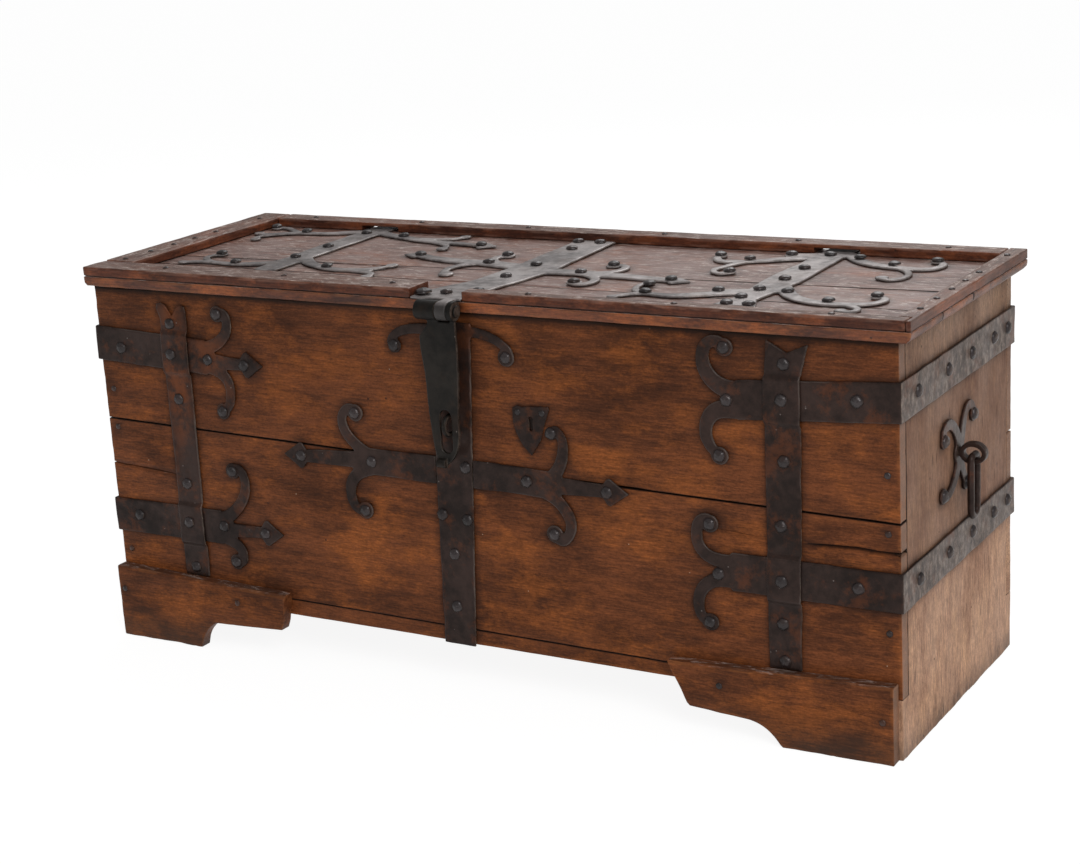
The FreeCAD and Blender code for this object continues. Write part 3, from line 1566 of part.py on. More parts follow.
def drop_handle(word, side):
    """A four-curl plate, an eye driven through it and a narrow bail that hangs in the eye."""
    turn = RIGHT if side > 0 else LEFT
    face_x = side * half_length
    centre = (side * handle_y, handle_z)
    faces = [disc(*ON_END.at(centre, (0, -4)), 17 * ON_END.mean)]
    for arm in HANDLE_ARMS:
        faces += scroll(ON_END, centre, [(side * u, v) for u, v in arm], 20, 12, 11)
    forging(f"handle_plate_{word}", lay(thicken(faces, thick), turn, (face_x, 0, 0)))
    for nail in HANDLE_NAILS:
        y, z = ON_END.at((handle_y, handle_z), nail)
        drive(f"end_nails_{word}", BIG_NAIL, turn, (face_x + side * thick, y, z))
    reach = float(named("eye_reach"))
    rise = float(named("eye_rise"))
    band_thick = float(named("eye_thickness"))
    wide = float(named("eye_width"))
    eye_x = face_x + side * (thick + reach)
    eye_z = handle_z - float(named("eye_drop"))
    hole = rise - band_thick
    across = Vector(0, 1, 0)
    tail_x = sorted((face_x - side * 22, eye_x - side * (reach - band_thick + 1)))
    shape = oval(eye_x, eye_z, reach, rise, wide)
    shape = shape.fuse(block(tail_x[0], tail_x[1], handle_y - 5, handle_y + 5, eye_z - 5, eye_z + 5))
    shape = shape.cut(oval(eye_x, eye_z, reach - band_thick, hole, wide + 2))
    forging(f"handle_eye_{word}", shape.removeSplitter())
    bar = float(named("bail_bar")) / 2
    top = eye_z - hole + bar + float(named("lid_gap"))
    half = float(named("bail_width")) / 2
    low = top - float(named("bail_length"))
    bend = float(named("bail_corner"))
    foot_bend = float(named("bail_foot_corner"))
    corners = [
        (-half, low, 1, 1, foot_bend),
        (-half, top, 1, -1, bend),
        (half, top, -1, -1, bend),
        (half, low, -1, 1, foot_bend),
    ]
    pieces = []
    for u, v, du, dv, turning in corners:
        centre = Vector(eye_x, handle_y + u + du * turning, v + dv * turning)
        ring_bend = Part.makeTorus(turning, bar, centre, Vector(1, 0, 0))
        y_cell = sorted((handle_y + u - du * 2 * bar, handle_y + u + du * turning))
        z_cell = sorted((v - dv * 2 * bar, v + dv * turning))
        pieces.append(ring_bend.common(block(eye_x - 2 * bar, eye_x + 2 * bar, *y_cell, *z_cell)))
    for v, turning in ((low, foot_bend), (top, bend)):
        start = (eye_x, handle_y - half + turning, v)
        pieces.append(rod(bar, 2 * (half - turning), start, across))
    for u in (-half, half):
        start = (eye_x, handle_y + u, low + foot_bend)
        pieces.append(rod(bar, top - low - bend - foot_bend, start, Vector(0, 0, 1)))
    forging(f"handle_bail_{word}", pieces[0].multiFuse(pieces[1:]).removeSplitter())


drop_handle("left", -1)
drop_handle("right", 1)


# ---------------------------------------------------------------------------------------------------------
# the nails of the wood

for side, heights in ((-1, (140, 340, 401)), (1, (176, 311, 389))):
    x = side * (half_length - float(named("end_thickness")) * 0.65)
    for height in heights:
        drive("plank_nails", PLANK_NAIL, FRONT, (x, front_y, height * up))
    for height in (130, 300, 389, 532):
        drive("plank_nails", PLANK_NAIL, BACK, (x, back_y, height * up))

# the nails of the feet, in steps in from the chest's end and up from the floor
foot_face = front_y - named("foot_thickness")
for side, steps in ((-1, ((12, 79), (235, 84))), (1, ((20, 60), (253, 75)))):
    for reach, height in steps:
        x = side * (half_length - reach * ON_FRONT.across)
        drive("foot_nails", PLANK_NAIL, FRONT, (x, foot_face, height * up))

for step in (183, 65, 10, -43, -100, -160):
    y = step * ON_LID.up
    drive("rim_nails", RIM_NAIL, TOP, (rim_right_x + named("rim_right") / 2, y, rim_top_z))
    drive("rim_nails", RIM_NAIL, TOP, (rim_left_x - named("rim_left") / 2, y, rim_top_z))
for step in (-540, -330, -130, 110, 330, 560):
    place = (step * ON_LID.across, rim_rear_y + named("rim_rear") / 2, rim_top_z)
    drive("rim_nails", RIM_NAIL, TOP, place)
for step in (-520, -300, -110):
    place = (step * ON_LID.across, lid_front_y + named("rim_front_left") / 2, rim_top_z)
    drive("rim_nails", RIM_NAIL, TOP, place)
for step in (120, 340, 560):
    place = (step * ON_LID.across, lid_front_y + named("rim_front_right") / 2, rim_top_z)
    drive("rim_nails", RIM_NAIL, TOP, place)

for group, shapes in nails.items():
    forging(group, Part.makeCompound(shapes))


# ---------------------------------------------------------------------------------------------------------
# check every object and write one file for each node

doc.recompute()
for item in doc.Objects:
    faults = [state for state in item.State if state in ("Invalid", "Error")]
    if faults:
        raise RuntimeError(f"{item.Name}: {faults}")
os.makedirs("parts", exist_ok=True)
for label, item in nodes.items():
    shape = item.Shape
    if shape.isNull() or not shape.isValid():
        raise RuntimeError(f"{label}: the shape is null or not valid")
    if not shape.Solids:
        raise RuntimeError(f"{label}: the shape holds no solid")
    shape.exportStep(os.path.join("parts", f"{label}.step"))
print(len(nodes), "nodes written")
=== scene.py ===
"""The looks of the iron-bound oak coffer, in metres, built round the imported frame."""

import itertools
import json
import math

import bmesh
import bpy
import numpy as np
from mathutils import Matrix, Vector, kdtree

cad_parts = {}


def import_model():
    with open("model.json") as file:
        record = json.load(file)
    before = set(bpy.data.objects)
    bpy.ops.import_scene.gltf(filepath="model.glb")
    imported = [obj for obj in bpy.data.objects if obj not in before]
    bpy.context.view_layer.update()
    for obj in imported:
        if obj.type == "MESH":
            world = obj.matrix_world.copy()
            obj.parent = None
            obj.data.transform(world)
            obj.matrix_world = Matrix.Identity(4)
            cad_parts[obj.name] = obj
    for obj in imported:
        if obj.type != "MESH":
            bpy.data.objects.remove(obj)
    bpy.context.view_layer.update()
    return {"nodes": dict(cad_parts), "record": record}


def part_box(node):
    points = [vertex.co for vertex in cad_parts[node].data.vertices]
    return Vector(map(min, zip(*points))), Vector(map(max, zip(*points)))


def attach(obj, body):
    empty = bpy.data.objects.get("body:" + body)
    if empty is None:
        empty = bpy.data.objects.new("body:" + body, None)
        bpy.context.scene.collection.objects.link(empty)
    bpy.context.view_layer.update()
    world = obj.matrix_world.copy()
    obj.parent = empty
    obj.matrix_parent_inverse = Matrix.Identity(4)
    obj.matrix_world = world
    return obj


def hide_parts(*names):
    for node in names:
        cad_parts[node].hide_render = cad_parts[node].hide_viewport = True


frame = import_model()
nodes = frame["nodes"]
bodies = frame["record"]["behaviour"]["bodies"]
body_of_node = {node: body for body, group in bodies.items() for node in group}
slot_of_node = {row["node"]: row["material_slot"] for row in frame["record"]["subparts"]}

MM = 0.001
X, Y, Z = 0, 1, 2


# ---- random fields and meshes


def lattice(cells, seed):
    """A repeatable random value from -1 to 1 for each whole-numbered cell."""
    x, y, z = cells.astype(np.int64).T
    mixed = (x * 374761393 + y * 668265263 + z * 1442695041 + seed * 974634777) & 0x7FFFFFFF
    mixed = ((mixed ^ (mixed >> 13)) * 1274126177) & 0x7FFFFFFF
    return ((mixed ^ (mixed >> 16)) & 0xFFFF) / 32767.5 - 1


def lumps(points, size, seed=0):
    """Smooth random values from -1 to 1; size is how wide a lump is, as one number or one for each axis."""
    scaled = points / np.array(size)
    low = np.floor(scaled)
    share = scaled - low
    share = share * share * (3 - 2 * share)
    total = np.zeros(len(points))
    for corner in itertools.product((0, 1), repeat=3):
        weight = np.prod(np.where(corner, share, 1 - share), axis=1)
        total += weight * lattice(low + corner, seed)
    return total


def fading(far, reach, start=1.0):
    """A share that falls from 1 nearby to 0 further off; a start over 1 keeps it at 1 for a while."""
    return np.clip(start - far / reach, 0, 1)


def name_seed(node):
    """A seed of each node's own."""
    return sum(map(ord, node))


def new_mesh(points, faces):
    mesh = bpy.data.meshes.new("mesh")
    mesh.from_pydata(points, [], faces)
    return mesh


def mesh_points(mesh):
    """The corners of a mesh."""
    flat = np.empty(len(mesh.vertices) * 3)
    mesh.vertices.foreach_get("co", flat)
    return flat.reshape(-1, 3)


def within_cad(points, node):
    """The points, kept inside the box of a CAD node."""
    low, high = (np.array(corner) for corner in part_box(node))
    return np.clip(points, low, high)


# ---- materials: noise scales are in cells per metre

# what lies on every oak, as six-figure codes
CHECK_DARK = "2a1a12"
KNOCK_DARK = "23130c"
PAINT_FLECK = "cdb49a"
# sawn end grain, laid paler towards the right end of the chest as painted light
SAWN_DARK = "6f5445"
SAWN_PALE = "a88972"
SCUFF_PALE = "c9b9b0"
SCRATCH_DARK = "33231c"
FLOOR_DIRT = "3a3029"
BLUSH_RED = "7a4a33"
IRON_STAIN = "241610"
IRON_BLACK = "120a07"
# black for joints and cracks, also laid as painted shade under the lid and behind the keyhole
JOINT_AND_SHADE_BLACK = "0b0705"
# what lies on every iron
END_GRIME = "5a4a40"
# painted shade, for the lid's iron below its top
SHADED_IRON = "262220"
FLAKE_GREY = "8f8580"
RUBBED_GREY = "8a807a"
# the part of a noise's range over which the grain's lines go from dark to light
GRAIN_RANGE = (0.34, 0.66)


def srgb(code):
    """A linear colour from a six-figure code."""
    channels = [int(code[i : i + 2], 16) / 255 for i in (0, 2, 4)]
    return tuple(c / 12.92 if c < 0.04045 else ((c + 0.055) / 1.055) ** 2.4 for c in channels) + (1.0,)


class Finish:
    """A material whose nodes are made one by one, and whose colour is laid in layers."""

    def __init__(self, name):
        self.material = bpy.data.materials.new(name)
        self.material.use_nodes = True
        self.tree = self.material.node_tree
        self.shader = self.tree.nodes["Principled BSDF"]
        place = self.node("ShaderNodeTexCoord")
        self.spot = place.outputs["Object"]
        self.along, _, self.height = self.parts(self.spot)
        self.facing = self.parts(place.outputs["Normal"])
        self.colour = None

    def node(self, kind, sockets=(), **settings):
        """Add a node; sockets are its inputs by number or name, as values or as other nodes' outputs."""
        made = self.tree.nodes.new(kind)
        for key, value in settings.items():
            setattr(made, key, value)
        for key, value in dict(sockets).items():
            self.feed(made.inputs[key], value)
        return made

    def feed(self, socket, value):
        if isinstance(value, bpy.types.NodeSocket):
            self.tree.links.new(value, socket)
        else:
            socket.default_value = value

    def parts(self, vector):
        """The three numbers of a vector."""
        return tuple(self.node("ShaderNodeSeparateXYZ", {0: vector}).outputs)

    def math(self, operation, *values, clamp=False):
        made = self.node("ShaderNodeMath", enumerate(values), operation=operation, use_clamp=clamp)
        return made.outputs[0]

    def times(self, first, second, clamp=False):
        return self.math("MULTIPLY", first, second, clamp=clamp)

    def named(self, key):
        """The number that the mesh holds under a name."""
        return self.node("ShaderNodeAttribute", attribute_name=key).outputs["Fac"]

    def stretched(self, vector, scale):
        made = self.node("ShaderNodeVectorMath", {0: vector, 1: scale}, operation="MULTIPLY")
        return made.outputs[0]

    def noise(self, vector, scale=1.0, detail=3.0, roughness=0.5, distortion=0.0):
        sockets = {"Vector": vector, "Scale": scale, "Detail": detail, "Roughness": roughness}
        made = self.node("ShaderNodeTexNoise", {**sockets, "Distortion": distortion})
        return made.outputs["Fac"]

    def between(self, value, low, high, to_low=0.0, to_high=1.0):
        """The value taken smoothly from one range to another."""
        sockets = {0: value, 1: low, 2: high, 3: to_low, 4: to_high}
        return self.node("ShaderNodeMapRange", sockets, interpolation_type="SMOOTHSTEP").outputs[0]

    def mix(self, share, first, second, blend="MIX"):
        made = self.node("ShaderNodeMix", data_type="RGBA", blend_type=blend)
        for key, value in (("Factor_Float", share), ("A_Color", first), ("B_Color", second)):
            socket = next(s for s in made.inputs if s.identifier == key)
            self.feed(socket, value)
        return next(s for s in made.outputs if s.identifier == "Result_Color")

    def lay(self, share, colour):
        """Lay a colour, or a six-figure code, over the colour so far."""
        if isinstance(colour, str):
            colour = srgb(colour)
        self.colour = self.mix(share, self.colour, colour)

    def brighten(self, value):
        """Multiply the colour so far by a number."""
        grey = self.node("ShaderNodeCombineColor", {0: value, 1: value, 2: value}).outputs[0]
        self.colour = self.mix(1.0, self.colour, grey, "MULTIPLY")

    def specks(self, vector, radius, share):
        """Small round marks in a share of the cells; radius is in cells."""
        cells = self.node("ShaderNodeTexVoronoi", {"Vector": vector, "Scale": 1.0})
        chance = self.node("ShaderNodeSeparateColor", {0: cells.outputs["Color"]}).outputs[0]
        mark = self.between(cells.outputs["Distance"], radius * 0.4, radius, 1.0, 0.0)
        return self.times(mark, self.math("LESS_THAN", chance, share))

    def bump(self, height, distance, strength=1.0, normal=None):
        sockets = {"Height": height, "Distance": distance, "Strength": strength}
        if normal is not None:
            sockets["Normal"] = normal
        return self.node("ShaderNodeBump", sockets).outputs[0]

    def surface(self, **sockets):
        for key, value in sockets.items():
            self.feed(self.shader.inputs[key.replace("_", " ")], value)
        return self.material


class Oak(Finish):
    """Old oak, waxed and worn; tones are its dark, middle, warm, worn and dusty colours, the dusty one
    partly a painted sheen.
    """

    def __init__(self, name, tones):
        super().__init__(name)
        self.dark, self.middle, self.warm, self.bare, self.dusty_sheen = (srgb(code) for code in tones)
        self.grain = self.node("ShaderNodeAttribute", attribute_name="grain").outputs["Vector"]
        self.stain = self.named("stain")
        self.cloud = self.grained((4, 7, 7), detail=5, roughness=0.62)
        self.patch = self.grained((15, 27, 27), detail=6, roughness=0.7)
        self.streaks = self.grained((17, 190, 170), detail=6, roughness=0.72, distortion=0.4)
        self.fine = self.grained((48, 430, 400), detail=4, roughness=0.75)

    def grained(self, scale, **settings):
        """Noise with its scale along, across and through the grain."""
        return self.noise(self.stretched(self.grain, scale), **settings)

    def rings(self):
        """The bands of the growth rings, bent a little."""
        bend = self.grained((2.4, 7, 7), detail=1.5, roughness=0.4)
        across = self.parts(self.grain)[1]
        return self.math("PINGPONG", self.math("MULTIPLY_ADD", bend, 18.0, self.times(across, 50.0)), 1.0)

    def lay_wood(self, streak):
        """The bare wood, with warm and dark patches and its fine lines; gives its tone."""
        tone = self.times(self.cloud, 0.5)
        for field, weight in ((self.patch, 0.3), (self.streaks, 0.14), (self.rings(), 0.05)):
            tone = self.math("MULTIPLY_ADD", field, weight, tone)
        self.colour = self.dark
        self.lay(self.between(tone, 0.37, 0.6), self.middle)
        glow = self.grained((7, 12, 12), detail=6, roughness=0.72)
        self.lay(self.between(glow, 0.46, 0.66, 0, 0.85), self.warm)
        gloom = self.grained((6, 11, 11), detail=6, roughness=0.7)
        self.lay(self.between(gloom, 0.5, 0.72, 0, 0.7), self.dark)
        speckle = self.grained((230, 330, 330), detail=3, roughness=0.75)
        lines = self.between(self.fine, *GRAIN_RANGE, 1 - 0.26 * streak, 1 + 0.3 * streak)
        bands = self.between(self.streaks, *GRAIN_RANGE, 1 - 0.14 * streak, 1 + 0.12 * streak)
        pores = self.between(speckle, *GRAIN_RANGE, 0.84, 1.18)
        self.brighten(self.times(self.times(lines, bands), pores))
        return tone

    def lay_marks(self, marks):
        """Short dark checks, knocks and flecks of paint; gives how deep the surface is marked."""
        checks = self.times(self.specks(self.stretched(self.grain, (22, 170, 170)), 0.27, 0.1), marks)
        self.lay(self.times(checks, 0.85), CHECK_DARK)
        knocks = self.specks(self.stretched(self.spot, (31, 31, 31)), 0.08, 0.2)
        self.lay(self.times(knocks, 0.75), KNOCK_DARK)
        paint = self.specks(self.stretched(self.spot, (43, 43, 47)), 0.05, 0.12)
        self.lay(self.times(paint, 0.7), PAINT_FLECK)
        return self.math("MAXIMUM", checks, knocks)

    def lay_lit_sawn_ends(self, tone, lit_ends):
        """Pale sawn end grain, laid only towards the right end of the chest as painted light from the right.
        """
        end_on = self.between(self.math("ABSOLUTE", self.facing[0]), 0.6, 0.95, 0, 0.8)
        end_on = self.times(end_on, self.between(self.along, 0.2, 0.6))
        sawn = self.mix(tone, srgb(SAWN_DARK), srgb(SAWN_PALE))
        self.lay(self.times(end_on, lit_ends), sawn)

    def lay_dust_and_sheen(self, dust_and_light, scuffs):
        """Dust, partly a painted sheen, with pale scuffs and dark scratches on the upper faces."""
        upward = self.between(self.facing[2], 0.5, 0.95)
        worn = self.grained((11, 26, 26), detail=7, roughness=0.75)
        top = self.times(upward, self.between(worn, 0.42, 0.6, 1.0, 0.35))
        self.lay(self.times(top, dust_and_light), self.dusty_sheen)
        scuff = self.grained((38, 120, 120), detail=7, roughness=0.8, distortion=0.6)
        self.lay(self.times(upward, self.between(scuff, 0.5, 0.66, 0, scuffs)), SCUFF_PALE)
        scratch = self.grained((14, 330, 330), detail=3, roughness=0.6, distortion=1.2)
        self.lay(self.times(upward, self.between(scratch, 0.56, 0.66, 0, scuffs)), SCRATCH_DARK)

    def lay_wear(self):
        """Bare wood where an arris is rubbed."""
        rub = self.times(self.named("wear"), self.between(self.grained((26, 90, 90), detail=4), 0.42, 0.6))
        self.lay(self.times(rub, 0.8, clamp=True), self.bare)

    def lay_dirt_and_shade(self, grime, blush):
        """Dirt near the floor, a red blush halfway up, stains round the iron, black joints, and painted
        shade: a shadow under the lid and black behind the keyhole.
        """
        low = self.between(self.height, 0.0, grime, 1.0, 0.0)
        low = self.times(low, self.between(self.patch, 0.35, 0.6, 1.0, 0.6))
        self.lay(self.times(low, 0.65), FLOOR_DIRT)
        halfway = self.between(self.height, 0.16, 0.27)
        halfway = self.times(halfway, self.between(self.height, 0.46, 0.56, 1.0, 0.0))
        self.lay(self.times(halfway, blush), BLUSH_RED)
        halo = self.between(self.stain, 0.15, 0.95)
        self.lay(self.times(halo, self.between(self.patch, 0.35, 0.62, 0.6, 0.3)), IRON_STAIN)
        self.lay(self.between(self.stain, 0.84, 1.0, 0, 0.85), IRON_BLACK)
        # black joints and cracks, with painted shade under the lid and behind the keyhole
        self.lay(self.times(self.named("dirt_and_shade"), 0.95, clamp=True), JOINT_AND_SHADE_BLACK)

    def shade_by_height(self, heights):
        """Painted shade: brighten by pairs of a height above the floor and a brightness; the curve holds
        half of each.
        """
        ramp = self.node("ShaderNodeFloatCurve", {1: self.height})
        curve = ramp.mapping.curves[0]
        for number, (level, bright) in enumerate(heights):
            point = curve.points[number] if number < 2 else curve.points.new(level, bright)
            point.location = (level, bright / 2)
        ramp.mapping.update()
        self.brighten(self.times(ramp.outputs[0], 2.0))

    def relief(self, marked):
        lines = self.math("MULTIPLY_ADD", self.streaks, 0.6, self.times(self.fine, 0.4))
        normal = self.bump(lines, 1.1 * MM, 0.6)
        return self.bump(self.math("SUBTRACT", 1.0, marked), 0.8 * MM, 0.6, normal)


def oak(
    name,
    tones,
    dust_and_light,
    shine,
    gleam,
    streak=1.0,
    marks=0.0,
    lit_ends=0.0,
    heights=((0, 1), (1, 1)),
    blush=0.0,
    scuffs=0.5,
    grime=0.07,
):
    """One kind of oak on the chest.

    dust_and_light is the share of dust on its upper faces, partly a painted sheen, shine its roughness,
    gleam its specular level, streak the strength of its grain, marks its dark checks, lit_ends how pale its
    sawn ends are on the chest's right end, as painted light, heights its painted shade by height, blush how
    far it reddens halfway up, scuffs how worn its top is, and grime how high the floor's dirt reaches.
    """
    made = Oak(name, tones)
    tone = made.lay_wood(streak)
    marked = made.lay_marks(marks)
    made.lay_lit_sawn_ends(tone, lit_ends)
    made.lay_dust_and_sheen(dust_and_light, scuffs)
    made.lay_wear()
    made.lay_dirt_and_shade(grime, blush)
    made.shade_by_height(heights)
    gloss = made.between(made.cloud, 0.35, 0.65, shine + 0.1, shine - 0.06)
    gloss = made.math("MAXIMUM", gloss, made.between(made.stain, 0.8, 1.0, 0, 0.8))
    return made.surface(
        Base_Color=made.colour, Roughness=gloss, Normal=made.relief(marked), Specular_IOR_Level=gleam
    )


class Iron(Finish):
    """Forged iron: smooth dark scale under dust and rust."""

    def __init__(self, name, dark, light):
        super().__init__(name)
        self.cloud = self.noise(self.spot, 9, detail=5, roughness=0.6)
        self.scale = self.noise(self.spot, 70, detail=5, roughness=0.68)
        self.tone = self.math("MULTIPLY_ADD", self.scale, 0.4, self.times(self.cloud, 0.6))
        self.colour = srgb(dark)
        self.lay(self.between(self.tone, 0.36, 0.64), srgb(light))

    def lay_end_dust_and_light(self, pale, sided, thinned):
        """Pale dust and grime on the faces at the chest's ends, partly painted light falling on the ends."""
        side = self.between(self.math("ABSOLUTE", self.facing[0]), 0.75, 0.97, 0, sided)
        rubs = self.noise(self.stretched(self.spot, (150, 60, 38)), detail=7, roughness=0.78)
        side = self.times(side, self.between(rubs, 0.4, 0.62, 0.3, 1.0))
        if thinned:
            side = self.times(side, self.named("dust_and_light"))
        grime = self.noise(self.stretched(self.spot, (90, 130, 90)), detail=6, roughness=0.75)
        self.lay(side, self.mix(self.between(grime, 0.42, 0.62), srgb(END_GRIME), srgb(pale)))

    def lay_shade(self, shaded_below):
        """Painted shade: dark iron below the height at which the lid's dust and painted sheen begin."""
        self.lay(self.between(self.height, shaded_below - 4 * MM, shaded_below, 0.85, 0.0), SHADED_IRON)

    def lay_rust(self, rust, rusty):
        flush = self.noise(self.spot, 21, detail=6, roughness=0.72)
        reddish = self.times(self.between(flush, 0.5, 0.66), rusty)
        burning = self.times(self.named("rust"), self.between(flush, 0.38, 0.6))
        self.lay(self.math("MAXIMUM", reddish, burning, clamp=True), rust)

    def lay_rubbing(self, edges):
        """Pale flakes, and edges rubbed bright."""
        flakes = self.specks(self.stretched(self.spot, (120, 120, 120)), 0.16, 0.05)
        self.lay(self.times(flakes, 0.5), FLAKE_GREY)
        rubbed = self.between(self.named("wear"), 0.25, 1.0)
        rubbed = self.times(rubbed, self.between(self.cloud, 0.42, 0.6))
        self.lay(self.times(rubbed, edges, clamp=True), RUBBED_GREY)

    def relief(self):
        pits = self.noise(self.spot, 420, detail=3, roughness=0.6)
        return self.bump(self.math("MULTIPLY_ADD", self.scale, 0.7, self.times(pits, 0.25)), 1.1 * MM, 0.55)


def iron(
    name,
    dark,
    light,
    rust,
    rusty=0.3,
    pale="85766b",
    roughness=0.44,
    metallic=0.3,
    gleam=0.3,
    sided=1.0,
    thinned=True,
    edges=0.2,
    shaded_below=0.0,
):
    """One kind of iron on the chest.

    rusty is the strength of its rust, pale the colour of the dust and painted light on its ends, gleam its
    specular level, sided how strongly the ends take that dust and painted light, thinned whether the mesh
    says how much of it each part keeps, edges how bright its edges are rubbed, and shaded_below the height
    below which painted shade darkens it.
    """
    made = Iron(name, dark, light)
    made.lay_end_dust_and_light(pale, sided, thinned)
    if shaded_below:
        made.lay_shade(shaded_below)
    made.lay_rust(rust, rusty)
    made.lay_rubbing(edges)
    gloss = made.between(made.tone, 0.35, 0.65, roughness + 0.1, roughness - 0.08)
    return made.surface(
        Base_Color=made.colour,
        Roughness=gloss,
        Metallic=metallic,
        Normal=made.relief(),
        Specular_IOR_Level=gleam,
    )


FINISHES = {
    "front_oak": oak(
        "front_oak",
        tones=("472716", "6f3e22", "8b4e25", "a8683a", "4b3328"),
        dust_and_light=0.75,
        shine=0.5,
        gleam=0.13,
        # painted light: pale end grain towards the right end
        lit_ends=0.7,
        # painted shade: darker towards the top, under the lid
        heights=((0, 0.95), (0.2, 1.06), (0.36, 0.97), (0.5, 0.82), (1, 0.66)),
    ),
    "end_oak": oak(
        "end_oak",
        tones=("8f6a54", "b68f74", "bd9474", "cfa98a", "8a7565"),
        dust_and_light=0.5,
        shine=0.6,
        gleam=0.2,
        streak=0.95,
        marks=1.0,
        # painted shade: darker from about 0.27 m up towards the top, under the lid
        heights=((0, 1.02), (0.16, 0.98), (0.27, 0.66), (0.42, 0.6), (0.52, 0.52), (1, 0.32)),
        blush=0.4,
        grime=0.04,
    ),
    "lid_oak": oak(
        "lid_oak",
        # its grey dusty tone on the lid's top is partly a painted sheen
        tones=("3c2118", "6b3a22", "914f27", "a8693c", "8a7069"),
        dust_and_light=0.78,
        shine=0.42,
        gleam=0.35,
        marks=0.4,
        lit_ends=0.15,
        scuffs=0.8,
    ),
    "rim_oak": oak(
        "rim_oak",
        # its grey dusty tone on the rims' tops is partly a painted sheen
        tones=("35190f", "5a2f1d", "7d4427", "a98271", "785f54"),
        dust_and_light=0.75,
        shine=0.48,
        gleam=0.25,
        marks=0.3,
        lit_ends=0.12,
        scuffs=0.9,
    ),
    "strap_iron": iron("strap_iron", "1f1613", "382924", "6b3a1e", rusty=0.4, gleam=0.2, sided=0.95),
    # grey of dust and a painted reflection of the white surroundings, with painted shade below 0.58 m
    "lid_iron": iron(
        "lid_iron",
        "575150",
        "a19997",
        "6a564b",
        roughness=0.45,
        metallic=0.4,
        gleam=0.6,
        edges=0.3,
        shaded_below=0.58,
    ),
    "hasp_iron": iron(
        "hasp_iron", "13110f", "25211d", "35261c", rusty=0.25, roughness=0.42, gleam=0.18, sided=0.5
    ),
    "nail_iron": iron(
        "nail_iron", "1c1717", "393131", "43291d", pale="453c38", roughness=0.34, gleam=0.45, thinned=False
    ),
    "lock_iron": iron("lock_iron", "2e2a26", "4a443d", "4f3424"),
}


def stand_for(node, kind, mesh, values):
    """Set a mesh in the place of a CAD node, with named values at its points and the node's own finish."""
    for key, numbers in values.items():
        shape, member = ("FLOAT_VECTOR", "vector") if numbers.ndim == 2 else ("FLOAT", "value")
        layer = mesh.attributes.new(key, shape, "POINT")
        layer.data.foreach_set(member, numbers.astype(np.float32).ravel())
    mesh.name = f"{node}_{kind}"
    mesh.shade_smooth()
    mesh.materials.clear()
    mesh.materials.append(FINISHES[slot_of_node[node]])
    made = bpy.data.objects.new(f"{node}_{kind}", mesh)
    bpy.context.scene.collection.objects.link(made)
    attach(made, body_of_node[node])
    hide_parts(node)


# ---- ironwork: each forging is remeshed from its CAD node, softened and hammered

# where a forging is rusted orange: the middle of the place, its reach along each axis, and how strongly
RUSTED = {
    "front_strap_left": ((-0.501, -0.229, 0.45), (0.03, 0.05, 0.16), 0.9),
    "corner_strap_upper_left": ((-0.44, -0.225, 0.468), (0.05, 0.05, 0.04), 0.75),
    "front_strap_centre": ((-0.01, -0.225, 0.47), (0.05, 0.05, 0.07), 0.35),
}
# the share of its CAD radius that the hasp pin's shaft keeps, so that it turns freely
PIN_SLACK = 0.86
# how much of the ends' pale dust and painted light lies on the handles
HANDLE_DUST_AND_LIGHT = 0.35
# how far an arris is drawn in where it counts as rubbed through
RUBBED_THROUGH = 0.45 * MM
SOFTENINGS = 4
# how wide the bends and the hammer marks of a forging are
BEND_WIDTH = 34 * MM
DENT_WIDTH = 8 * MM


def soften(points, edges, times, share=0.5):
    """Each point moves towards the mean of its neighbours, a number of times."""
    count = np.bincount(edges.ravel(), minlength=len(points))[:, None]
    for _ in range(times):
        total = np.zeros_like(points)
        np.add.at(total, edges[:, 0], points[edges[:, 1]])
        np.add.at(total, edges[:, 1], points[edges[:, 0]])
        points = points + (total / count - points) * share
    return points


def rust_share(node, points):
    """How far each point of a forging is rusted, from 0 to 1."""
    if node not in RUSTED:
        return np.zeros(len(points))
    middle, reach, most = RUSTED[node]
    far = np.linalg.norm((points - np.array(middle)) / np.array(reach), axis=1)
    return most * np.clip(1.6 - 1.4 * far, 0, 1)


def remeshed(node, voxel):
    """A CAD node's mesh in even faces of one size."""
    source = nodes[node].copy()
    source.data = nodes[node].data.copy()
    source.parent = None
    bpy.context.scene.collection.objects.link(source)
    remesh = source.modifiers.new("remesh", "REMESH")
    remesh.mode = "VOXEL"
    remesh.voxel_size = voxel
    graph = bpy.context.evaluated_depsgraph_get()
    mesh = bpy.data.meshes.new_from_object(source.evaluated_get(graph))
    bpy.data.objects.remove(source)
    return mesh


def thin_shaft(points, node):
    """A pin's points, with its shaft a little thinner and its heads as they are."""
    low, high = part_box(node)
    middle = np.array([(low[axis] + high[axis]) / 2 for axis in (Y, Z)])
    off_axis = points[:, 1:] - middle
    shaft = np.linalg.norm(off_axis, axis=1, keepdims=True) < 0.8 * (high[Z] - low[Z]) / 2
    points[:, 1:] = np.where(shaft, middle + off_axis * PIN_SLACK, points[:, 1:])
    return points


